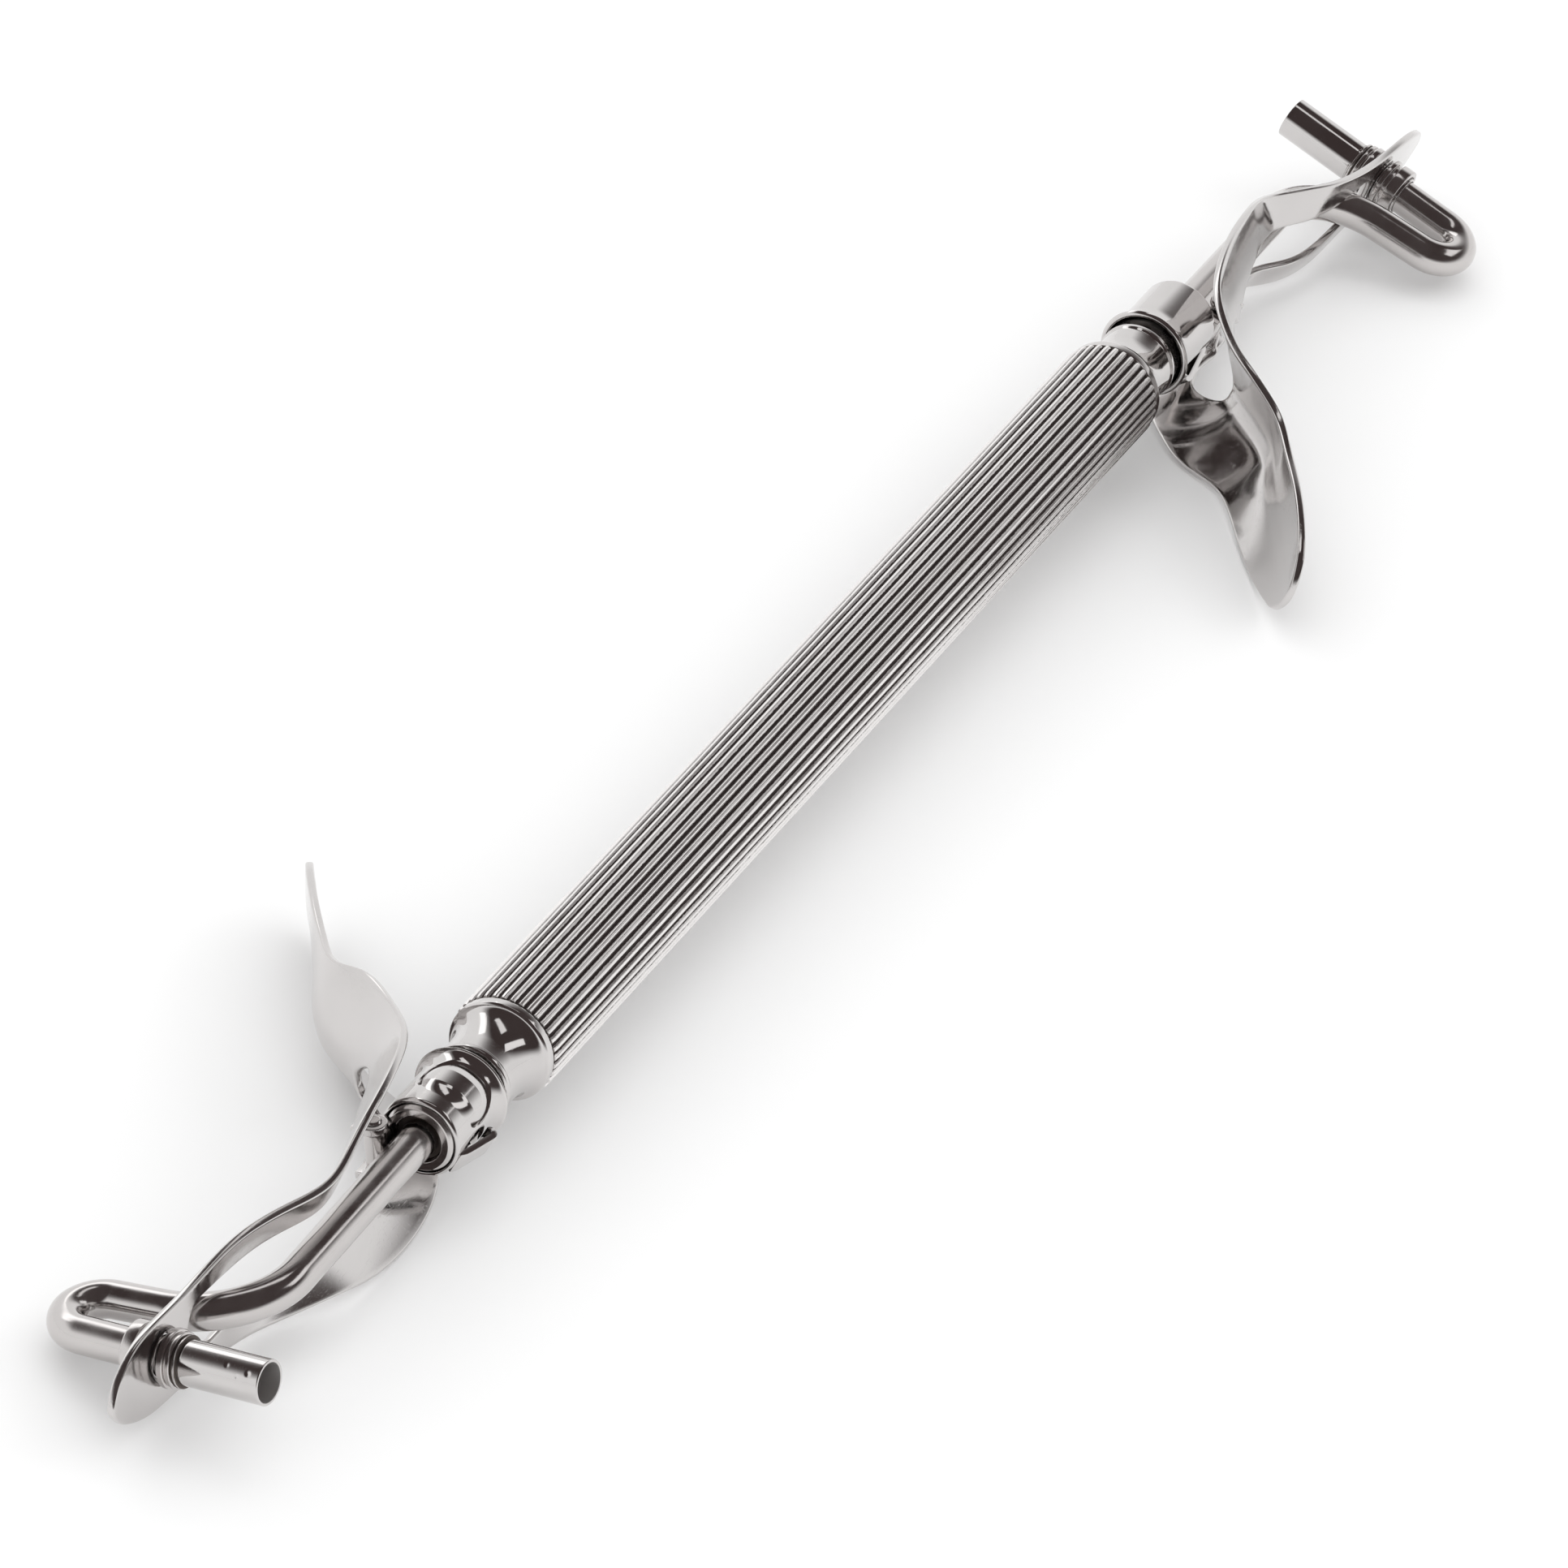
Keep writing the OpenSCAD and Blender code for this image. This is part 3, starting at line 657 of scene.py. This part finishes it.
tab_line = np.array([
    (11.75, 2.62), (11.5, 2.78), (11.1, 2.9), (10.4, 3.05), (9.6, 3.2), (8.9, 3.34),
    (8.45, 3.44), (8.15, 3.46), (7.95, 3.36), (7.88, 3.2), (7.95, 3.06), (8.12, 3.0)])
share, knots = np.linspace(0, 1, 60), np.linspace(0, 1, len(tab_line))
even_out = np.exp(-0.5 * (np.arange(-6, 7) / 2.5) ** 2)
tab_middle = np.array([soft_line(np.interp(share, knots, row), even_out) for row in tab_line.T]).T
for end in ENDS:
    place = end_place(end, False) @ turn("X", RING_TURN[end])
    shell = new_piece("shell", *lathe(ring_profile(), 480, ring_relief), place, 60)
    tab = strip("tab", tab_middle, 0.82, 0.4, place)
    ring = join(f"lock_ring_shell_{end}", [shell, tab])
    x, rad, th = own_polar(ring, place)
    window = (rad < 2.62) & (rad > 2.3) & (np.abs(th) < 0.4) & (x < 10.8) & (x > 8.2)
    lip = (rad < 2.6) & (x < 6.6)
    # painted shade in the slit, the window and the rear lip, painted highlight on the flared rim
    mark(ring, "painted_shade", np.maximum(slit_mask(x, th) * 0.95, 0.85 * window + 0.7 * lip))
    mark(ring, "painted_highlight", near(rad, 3.3, 0.08) * (x < 6.3))
    fit_out(ring, f"ring_{end}", "polished_steel", polished_steel, f"lock_ring_{end}")

# %% [markdown]
# ## Bent wire
# One length of 2.5 mm wire leaves the ferrule, bends a quarter turn, makes a tight U and runs back
# into the sliding tube, where its end is the plunger. A circle swept along straight and round
# stretches gives it; a Curve object with a bevel would too, but then the tiny flats of the bending
# tool could not be pressed in.


# %% Bent wire
WIRE_START = 9.35


def wire_path():
    """Centre line from inside the ferrule, round the bend and the U, to the plunger's end."""
    pts = [(x, 0.0) for x in np.linspace(WIRE_START, BEND_START, 40)]
    pts += [(BEND_START + BEND_R * math.sin(a), -BEND_R * (1 - math.cos(a)))
            for a in np.linspace(0, math.pi / 2, 56)[1:]]
    pts += [(BEND_START + BEND_R, -BEND_R - d) for d in np.linspace(0, RUN_LEN, 12)[1:]]
    pts += [(u_x - U_R * math.cos(a), u_y - U_R * math.sin(a))
            for a in np.linspace(0, math.pi - lean, 64)[1:]]
    length = TUBE_FRONT - POCKET - back_y / math.cos(lean)
    pts += [(back_x + d * math.sin(lean), back_y + d * math.cos(lean))
            for d in np.linspace(0, length, 30)[1:]]
    return np.array(pts)


def sweep_round(path, radius, around, flats):
    """A round bar along a path, whose radius flats(run, angle) scales."""
    ang = np.arange(around) * 2 * math.pi / around
    run = np.r_[0, np.cumsum(np.linalg.norm(np.diff(path, axis=0), axis=1))]
    pts = []
    for centre, side, at in zip(path, normals_of(path), run):
        r = radius * flats(at, ang)
        pts.append(np.c_[centre + side * (r * np.cos(ang))[:, None], r * np.sin(ang)])
    ends = [tuple(range(around)), tuple(range((len(path) - 1) * around, len(path) * around))]
    return np.vstack(pts), tube_faces(len(path), around) + ends


bend_mid = BEND_START - WIRE_START + BEND_R * math.pi / 4
u_mid = BEND_START - WIRE_START + BEND_R * math.pi / 2 + RUN_LEN + U_R * 1.5


def tool_flats(run, ang):
    """The bends are drawn a few hundredths flat on the outside and show faint ripples inside."""
    a = near(run, bend_mid, 3.4) + near(run, u_mid, 2.4)
    return 1 - 0.012 * a * np.cos(ang) ** 2 - 0.004 * a * np.cos(ang * 3 + run * 2.0)


for end in ENDS:
    place = end_place(end)
    bar = sweep_round(wire_path(), WIRE_R, 56, tool_flats)
    wire = new_piece(f"bent_wire_{end}", *bar, place, 50)
    # painted shade where the wire enters the ferrule
    mark(wire, "painted_shade", (1 - (own_polar(wire, place)[0] - 12.0) / 0.7).clip(0, 1) * 0.8)
    fit_out(wire, "handle", "wire_steel", wire_steel, f"hook_wire_{end}")

# %% [markdown]
# ## Thumb lever
# The lever is one stamped sheet: a thumb paddle, a dished lobe that wraps the ring, two legs with
# a long slot between them for the wire, and a pointed nose with a round hole for the tube. The
# middle of the sheet is a formula that follows a few stations. Its outline, the slot and the hole
# are drawn as closed lines on that surface and filled with triangles, then both skins and a
# rounded rim give the sheet its thickness. Solidify and Bevel would do for a simpler plate, but a
# bevel folds over itself where the outline turns tightly.

# %% Lever stations: centre x, y, edge x, y, half width, twist
STATIONS = np.array([
    (-11.0, -20.2, -10.9, -20.1, 2.0, 0), (-8.3, -18.8, -8.4, -18.4, 3.1, 3),
    (-4.6, -16.3, -4.9, -15.8, 3.8, 7), (-0.5, -13.9, -1.3, -13.0, 3.9, 8),
    (3.1, -12.0, 1.5, -10.5, 4.2, 8), (5.2, -9.4, 2.8, -7.1, 5.0, 8),
    (6.9, -7.1, 4.9, -4.3, 5.1, 7), (9.8, -4.9, 8.8, -0.9, 5.5, 6),
    (14.8, -3.1, 14.3, 0.4, 5.9, 3), (20.0, -1.8, 20.0, 0.6, 5.4, 0),
    (24.2, -1.4, 24.2, 0.3, 4.3, -4), (27.9, -2.9, 28.1, -1.6, 4.2, -6),
    (31.4, -3.4, 31.6, -2.9, 3.8, -4), (37.2, -3.55, 37.2, -3.5, 3.0, 0),
    (42.9, -3.9, 42.9, -3.9, 2.8, 0), (46.6, -3.9, 46.6, -3.9, 1.0, 0)], float)
LAST = len(STATIONS) - 1
PADDLE_IN, PADDLE_UP, PADDLE_ROOT = -2.0, 4.2, (10.0, -5.0)


def through_stations(u):
    """Catmull-Rom curve through the stations, for an array of u."""
    i = np.clip(np.floor(u), 0, LAST - 1).astype(int)
    f = (u - i)[:, None]
    a, b, c, d = (STATIONS[np.clip(i + k, 0, LAST)] for k in (-1, 0, 1, 2))
    return b + 0.5 * f * (c - a + f * (2 * a - 5 * b + 4 * c - d + f * (3 * (b - c) + d - a)))


# polish shows a kink where the curve changes its rate of bending, so it is evened out along u
FINE = 0.005
fine_u = np.arange(-1.5, LAST + 1.5001, FINE)
rows = through_stations(np.clip(fine_u, 0, LAST))
low, high = fine_u < 0, fine_u > LAST
rows[low] = STATIONS[0] + (STATIONS[1] - STATIONS[0]) * fine_u[low, None]
rows[high] = STATIONS[-1] + (STATIONS[-1] - STATIONS[-2]) * (fine_u[high, None] - LAST)
bell_curve = np.exp(-0.5 * (np.arange(-200, 201) * FINE / 0.24) ** 2)
even = np.array([soft_line(row, bell_curve) for row in rows.T]).T


def sheet_middle(u, v):
    """Middle of the sheet, u from the paddle's end to the nose, v from edge to edge."""
    xc, yc, xe, ye, w, tw = (np.interp(u, fine_u, column) for column in even.T)
    # the cupping is nearly flat in the middle and steeper at the edges
    cup = (v ** 4 + 0.0012) ** 0.375 - 0.0012 ** 0.375
    t = np.radians(-tw)
    px = xc + (xe - xc) * cup
    py = yc + (ye - yc) * cup * np.cos(t) + v * w * np.sin(t)
    pz = v * w * np.cos(t) - (ye - yc) * cup * np.sin(t)
    # the paddle is bent in and up from its root
    k = np.clip((11 - xc) / 6, 0, 1)
    k = k * k * (3 - 2 * k) * 0.5 + k * 0.5
    rx, ry = PADDLE_ROOT
    a, far = np.radians(PADDLE_IN) * k, np.hypot(xc - rx, yc - ry)
    return np.stack([rx + (px - rx) * np.cos(a) - (py - ry) * np.sin(a),
                     ry + (px - rx) * np.sin(a) + (py - ry) * np.cos(a),
                     pz + math.tan(math.radians(PADDLE_UP)) * k * far], -1)


def slopes(uv):
    """Both directions along the sheet and its unit normal."""
    e = 1e-3
    du = (sheet_middle(uv[:, 0] + e, uv[:, 1]) - sheet_middle(uv[:, 0] - e, uv[:, 1])) / (2 * e)
    dv = (sheet_middle(uv[:, 0], uv[:, 1] + e) - sheet_middle(uv[:, 0], uv[:, 1] - e)) / (2 * e)
    n = np.cross(du, dv)
    return du, dv, n / np.linalg.norm(n, axis=1)[:, None]


# %% [markdown]
# The slot and the hole are cut straight through along y, so their outlines are known in x and z. A
# few Newton steps find where each of those points lies on the sheet.


# %% Outlines of the sheet
def hit(x, z, start_u):
    """(u, v) on the sheet straight behind the points (x, z)."""
    uv = np.c_[start_u, z / 4.5]
    for _ in range(30):
        p = sheet_middle(*uv.T)
        du, dv, _ = slopes(uv)
        det = du[:, 0] * dv[:, 2] - du[:, 2] * dv[:, 0]
        rx, rz = x - p[:, 0], z - p[:, 2]
        step = np.c_[(rx * dv[:, 2] - rz * dv[:, 0]) / det, (du[:, 0] * rz - du[:, 2] * rx) / det]
        uv += np.clip(step, -0.3, 0.3)
    return uv


u_line = np.linspace(5.0, LAST, 2001)
x_line = sheet_middle(u_line, np.zeros_like(u_line))[:, 0]
# the slot starts with a round end, narrows behind the ring, widens to the legs and ends round again
START_X, START_R, END_X, END_R = 9.9, 2.6, 35.5, 1.8
along = np.r_[np.arange(START_X, END_X, 0.22), END_X]
width = np.interp(along, [START_X, 11.7, 12.3, 12.75, 15.0, 16.1, END_X],
                  [START_R, 2.55, 2.0, 1.42, 1.42, END_R, END_R])
first_arc, last_arc = np.linspace(0, math.pi / 2, 24)[:-1], np.linspace(0, math.pi / 2, 18)[1:]
xs = np.r_[START_X - START_R * np.cos(first_arc), along, END_X + END_R * np.sin(last_arc)]
zs = np.r_[START_R * np.sin(first_arc), soft_line(width, [0.1, 0.2, 0.4, 0.2, 0.1]),
           END_R * np.cos(last_arc)]
xs, zs = np.r_[xs, xs[-2:0:-1]], np.r_[zs, -zs[-2:0:-1]]
slot_line = hit(xs, zs, np.interp(xs, x_line, u_line))
HOLE_R = TUBE_R + 0.15
ring_angle = np.linspace(0, 2 * math.pi, 64, endpoint=False)
hx, hz = hole_x - 0.05 + (HOLE_R + 0.05) * np.cos(ring_angle), HOLE_R * np.sin(ring_angle)
hole_line = hit(hx, hz, np.interp(hx, x_line, u_line))


def round_off(t):
    """Half width near a rounded tip, as a share."""
    t = np.clip(t, 0, 1)
    return np.sqrt(1 - (1 - t) ** 2)


PADDLE_TIP, NOSE_TIP = 0.6, 0.4
first_tip = PADDLE_TIP * (1 - np.cos(np.linspace(0, math.pi / 2, 22)))
last_tip = LAST - NOSE_TIP * (1 - np.cos(np.linspace(0, math.pi / 2, 18)))[::-1]
us = np.r_[first_tip, np.arange(PADDLE_TIP + 0.06, LAST - NOSE_TIP - 0.05, 0.075), last_tip]
half = round_off(us / PADDLE_TIP) * round_off((LAST - us) / NOSE_TIP)
outer_line = np.r_[np.c_[us, half], np.c_[us, -half][::-1][1:-1]]
print("outline points:", len(outer_line), "slot:", len(slot_line), "hole:", len(hole_line))

# %% Fill the outline with triangles
RIM = 0.17
arc_line = np.r_[0, np.cumsum(np.hypot(*np.diff(even[:, :2], axis=0).T))]


def flat(uv):
    """Roughly true lengths on a flat sheet, so the triangles come out even."""
    return np.c_[np.interp(uv[:, 0], fine_u, arc_line), uv[:, 1] * 4.6]


def inside(points, poly):
    """Which points lie inside a closed line."""
    x, y = points[:, 0][:, None], points[:, 1][:, None]
    ax, ay = poly[:, 0], poly[:, 1]
    bx, by = np.roll(ax, -1), np.roll(ay, -1)
    crossing = (bx - ax) * (y - ay) / np.where(by == ay, 1e-12, by - ay) + ax
    return (((ay > y) != (by > y)) & (x < crossing)).sum(1) % 2 == 1


def rim_frame(line, outwards):
    """Rim points, sheet normal, way out of the sheet, and the line moved in by the rim's radius."""
    p = sheet_middle(*line.T)
    du, dv, n = slopes(line)
    t = np.roll(p, -1, 0) - np.roll(p, 1, 0)
    t /= np.linalg.norm(t, axis=1)[:, None]
    b = np.cross(t, n)
    b /= np.linalg.norm(b, axis=1)[:, None]
    a11, a12, a22 = (du * du).sum(1), (du * dv).sum(1), (dv * dv).sum(1)
    det = a11 * a22 - a12 * a12

    def moved(sign):
        r1, r2 = (du * -RIM * sign * b).sum(1), (dv * -RIM * sign * b).sum(1)
        return line + np.c_[(a22 * r1 - a12 * r2) / det, (a11 * r2 - a12 * r1) / det]

    def area(q):
        f = flat(q)
        return abs((f[:, 0] * np.roll(f[:, 1], -1) - np.roll(f[:, 0], -1) * f[:, 1]).sum())

    sign = 1.0 if (area(moved(1.0)) < area(line)) == outwards else -1.0
    return p, n, b * sign, moved(sign)


loops = [rim_frame(outer_line, True), rim_frame(slot_line, False), rim_frame(hole_line, False)]
edge_uv = [loop[3] for loop in loops]
flat_loops = [flat(line) for line in edge_uv]


def on_sheet(points):
    outer, *holes = flat_loops
    return inside(points, outer) & ~inside(points, holes[0]) & ~inside(points, holes[1])


# an even grid fills the sheet, with a little room left along every rim
grid_u, grid_v = np.meshgrid(np.arange(0.02, LAST, 0.062), np.linspace(-0.98, 0.98, 41))
grid = np.c_[grid_u.ravel(), grid_v.ravel()]
flat_grid = flat(grid)
keep = on_sheet(flat_grid)
for line in flat_loops:
    for start in range(0, len(line), 64):
        part = line[start:start + 64]
        keep &= np.hypot(flat_grid[:, :1] - part[:, 0], flat_grid[:, 1:] - part[:, 1]).min(1) > 0.11
all_uv = np.vstack(edge_uv + [grid[keep]])
edges, first = [], 0
for line in edge_uv:
    edges += [(first + i, first + (i + 1) % len(line)) for i in range(len(line))]
    first += len(line)
flat_all = flat(all_uv)
filled = delaunay_2d_cdt([Vector(p) for p in flat_all], edges, [], 0, 1e-6)
assert len(filled[0]) == len(all_uv), "the fill added or merged points"
tris = np.array([f for f in filled[2] if len(f) == 3])
tris = tris[on_sheet(flat_all[tris].mean(1))]
print(len(tris), "triangles on each face of the sheet")

# %% Both skins and the rounded rim
skin, normal = sheet_middle(*all_uv.T), slopes(all_uv)[2]
count = len(all_uv)
lever_points = [skin + normal * SHEET / 2, skin - normal * SHEET / 2]
lever_faces = [tuple(t) for t in tris] + [tuple(t[::-1] + count) for t in tris]
used, first = 2 * count, 0
bows = np.radians([67, 45, 22, 0])
for p, n, b, line in loops:
    # rings of points round the rim, from the upper skin's edge to the lower one's
    k = len(line)
    rings = [np.arange(first, first + k)]
    for side, angles in ((1, bows), (-1, bows[::-1])):
        for a in angles:
            height = side * (SHEET / 2 - RIM * (1 - math.sin(a)))
            lever_points.append(p - b * RIM * (1 - math.cos(a)) + n * height)
            rings.append(used + np.arange(k))
            used += k
    rings.append(count + rings[0])
    for r0, r1 in zip(rings, rings[1:]):
        lever_faces += [(r0[i], r0[(i + 1) % k], r1[(i + 1) % k], r1[i]) for i in range(k)]
    first += k
lever_points = np.vstack(lever_points)
lever_faces = [tuple(int(i) for i in f) for f in lever_faces]


# %% Make the levers
EAR_R, EAR_Z, EAR_THICK, EAR_ROOT = 0.95, 1.68, 0.54, 1.2


def lever_ears(place):
    """The two small ears that stand up from the sheet and hold the pivot pin."""
    px, py = PIVOT
    rim = [(px + EAR_R * math.cos(a), py + EAR_R * math.sin(a))
           for a in np.linspace(0, math.pi, 25)]
    rim += [(px - EAR_R, py - EAR_ROOT), (px + EAR_R, py - EAR_ROOT)]
    k = len(rim)
    faces = [tuple(range(k)), tuple(range(k, 2 * k))]
    faces += [(i, (i + 1) % k, k + (i + 1) % k, k + i) for i in range(k)]
    ears = []
    for side in (-1, 1):
        pts = [(x, y, side * EAR_Z + z) for z in (-EAR_THICK / 2, EAR_THICK / 2) for x, y in rim]
        ears.append(bevel(new_piece("ear", pts, faces, place), 0.08))
    return ears


for end in ENDS:
    place = end_place(end)
    sheet = new_piece("sheet", lever_points, lever_faces, place, 80)
    lever = join(f"thumb_lever_{end}", [sheet] + lever_ears(place))
    finish_mesh(lever.data, 60)
    fit_out(lever, f"lever_{end}", "polished_steel", lever_steel, f"lever_{end}")

# %% [markdown]
# ## Pivot pin, tube and rings
# The pin has two low domed heads. The tube is a thin drawn tube with a burnished mouth; a stop
# flange and a keeper ring with two fine grooves hold the lever's nose between them. All are turned
# outlines again.

# %% Pivot pin
pin_head = [(2.17, 0.0), (2.17, 0.45), (1.98, 0.62), (1.95, 0.42)]
pin_outline = rounded([(-x, r) for x, r in pin_head] + pin_head[::-1],
                      [0, 0.1, 0.05, 0.02, 0.02, 0.05, 0.1, 0], 5)
for end in ENDS:
    pin = new_piece(f"pivot_pin_heads_{end}", *lathe(pin_outline, 48), pivot_place(end), 50)
    fit_out(pin, f"lever_{end}", "inner_steel", wire_steel, f"pivot_pin_{end}")

# %% Sliding tube and its two rings
BORE = WIRE_R + 0.05
y0 = -NOSE_BACK / math.cos(lean)  # where the lever's nose meets the tube
shoulder = y0 + 1.95
tube_outline = rounded([(TUBE_BACK, BORE), (TUBE_BACK, SEAT_R), (shoulder, SEAT_R),
                        (shoulder, TUBE_R), (TUBE_FRONT, TUBE_R), (TUBE_FRONT, BORE),
                        (TUBE_BACK, BORE)],
                       [0, 0.05, 0, 0.02, 0.07, 0.05, 0], 6)[:-1]
# the outer wall gets rows of its own, so that the dents have points to push in
wall = np.c_[np.linspace(shoulder + 0.1, TUBE_FRONT - 0.1, 110), np.full(110, TUBE_R)]
at = int(np.argmax((tube_outline[:, 0] > shoulder + 0.06) & (tube_outline[:, 1] > 1.4)))
wall = wall[wall[:, 0] < tube_outline[at, 0] - 0.02]
tube_outline = np.vstack([tube_outline[:at], wall, tube_outline[at:]])
# place, angle, depth, size
DENTS = ((3.2, 2.35, 0.05, 0.13), (2.5, 2.6, 0.03, 0.10), (1.6, 2.2, 0.025, 0.11))


def handling_dents(x, r, th):
    """Three small dents near the open end, where the tube is tapped empty."""
    out = np.zeros_like(x)
    for dx, angle, deep, size in DENTS:
        off = (np.mod(th - angle + math.pi, 2 * math.pi) - math.pi) * TUBE_R
        out -= deep * near(np.hypot(x - dx, off), 0, size)
    return np.where((r > TUBE_R - 0.01) & (x < TUBE_FRONT - 0.08), out, 0.0)


flange = rounded([(-5.85, SEAT_R), (-5.85, 1.95), (-4.95, 1.95), (-4.95, 1.72), (y0 - 0.95, 1.72),
                  (y0 - 0.9, 1.95), (y0 - 0.58, 1.95), (y0 - 0.58, SEAT_R)],
                 [0, 0.12, 0.1, 0.05, 0.04, 0.06, 0.06, 0], 6)
keeper = rounded([(y0 + 0.58, SEAT_R), (y0 + 0.58, 1.95), (y0 + 1.02, 1.95), (y0 + 1.06, 1.74),
                  (y0 + 1.16, 1.74), (y0 + 1.2, 1.84), (y0 + 1.46, 1.84), (y0 + 1.5, 1.64),
                  (y0 + 1.6, 1.64), (y0 + 1.64, 1.72), (y0 + 1.78, 1.72), (y0 + 1.84, 1.62),
                  (y0 + 1.84, SEAT_R)],
                 [0, 0.08, 0.08, 0.02, 0.02, 0.06, 0.06, 0.02, 0.02, 0.05, 0.05, 0.03, 0], 5)
for end in ENDS:
    place = tube_place(end)
    tube = new_piece(f"sliding_tube_{end}", *lathe(tube_outline, 144, handling_dents), place, 50)
    mark(tube, "dull", own_polar(tube, place)[1] < BORE + 0.04)
    fit_out(tube, f"tube_{end}", "polished_steel", polished_steel, f"slide_tube_{end}")
    for name, outline, node in (("stop_ring", flange, "stop_flange"),
                                ("keeper", keeper, "keeper_ring")):
        ring = new_piece(f"{name}_{end}", *lathe(outline, 112), place, 50)
        # painted shade in the groove floors
        mark(ring, "painted_shade", ((1.76 - own_polar(ring, place)[1]) / 0.08).clip(0, 1) * 0.85)
        fit_out(ring, f"tube_{end}", "wire_steel", wire_steel, f"{node}_{end}")

# %% [markdown]
# ## What stays as it is
# The wave washers sit in the dark gap behind the ring. Their solids are right, so they only get
# the steel.

# %% Wave washers
for end in ENDS:
    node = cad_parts[f"wave_washer_{end}"]
    for slot in node.material_slots:
        slot.material = inner_steel
    print(node.name, "keeps its solid, slots:", len(node.material_slots))

# %% [markdown]
# ## Studio
# A white table and a white surround light the steel, and a dark patch overhead, which only
# reflections see, gives polished steel its deep tones. Three soft lamps stay at a plain level and
# add faint streaks. A dark ceiling as a real plane would do the same, but it would also take light
# from the table.

# %% Floor
bpy.ops.mesh.primitive_plane_add(size=6.0, location=(0, 0, 0))
floor = bpy.context.object
floor.name = "table"
table_white = bpy.data.materials.new("table_white")
table_white.use_nodes = True
table_bsdf = table_white.node_tree.nodes["Principled BSDF"]
table_bsdf.inputs["Base Color"].default_value = (0.96, 0.96, 0.96, 1)
table_bsdf.inputs["Roughness"].default_value = 0.7
floor.data.materials.append(table_white)

# %% World
DARK_WAY = Vector((-0.15, -0.25, 0.95)).normalized()
DARK, WHITE, BRIGHTER = (0.055, 0.041, 0.040), (1.0, 1.0, 1.0), (1.05, 1.05, 1.05)
world = bpy.data.worlds.new("studio")
bpy.context.scene.world = world
world.use_nodes = True
tree = world.node_tree
tree.nodes.clear()
facing = tree.nodes.new("ShaderNodeVectorMath")
facing.operation = "DOT_PRODUCT"
facing.inputs[1].default_value = DARK_WAY
tree.links.new(tree.nodes.new("ShaderNodeTexCoord").outputs["Generated"], facing.inputs[0])
mix = mixer(tree)
room = mix(fade_between(tree, facing.outputs["Value"], 0.22, 0.54), WHITE, DARK)
# only reflections see the dark patch: the camera and the table's light get a plain white
ray = tree.nodes.new("ShaderNodeLightPath").outputs
not_glossy = maths(tree)("SUBTRACT", 1.0, ray["Is Glossy Ray"])
background = tree.nodes.new("ShaderNodeBackground")
background.inputs["Strength"].default_value = 1.0
tree.links.new(mix(not_glossy, room, BRIGHTER), background.inputs["Color"])
tree.links.new(background.outputs[0], tree.nodes.new("ShaderNodeOutputWorld").inputs["Surface"])


# %% Lamps
def lamp(name, place, size, power):
    """A soft lamp, in metres and watts, aimed at the middle of the part."""
    data = bpy.data.lights.new(name, "AREA")
    data.shape, data.size, data.size_y, data.energy = "RECTANGLE", size[0], size[1], power
    o = bpy.data.objects.new(name, data)
    bpy.context.scene.collection.objects.link(o)
    o.location = place
    o.rotation_euler = (-Vector(place)).to_track_quat("-Z", "Y").to_euler()


lamp("top_soft", (0.17, 0.10, 0.55), (0.34, 0.12), 0.12)
lamp("side_soft", (0.35, -0.45, 0.5), (0.5, 0.18), 0.3)
lamp("back_soft", (0.3, 0.55, 0.45), (0.6, 0.18), 0.3)

# %% Camera
LENS, SENSOR = 315.8, 36.0
CAMERA_AT = Vector((-0.7133, -0.2526, 0.5179 + AXIS_HEIGHT / 1000))
right, up = Vector((0.42833, -0.891, 0.151)).normalized(), Vector((0.46608, 0.361, 0.808))
up = (up - right * up.dot(right)).normalized()
back = right.cross(up)
cam = bpy.data.objects.new("camera", bpy.data.cameras.new("camera"))
bpy.context.scene.collection.objects.link(cam)
cam.data.lens, cam.data.sensor_width = LENS, SENSOR
cam.data.clip_start, cam.data.clip_end = 0.01, 20
cam.matrix_world = Matrix.Translation(CAMERA_AT) @ Matrix((right, up, back)).transposed().to_4x4()
bpy.context.scene.camera = cam
bpy.context.scene.view_settings.view_transform = "Standard"
print("camera looks along", tuple(round(v, 3) for v in -back))
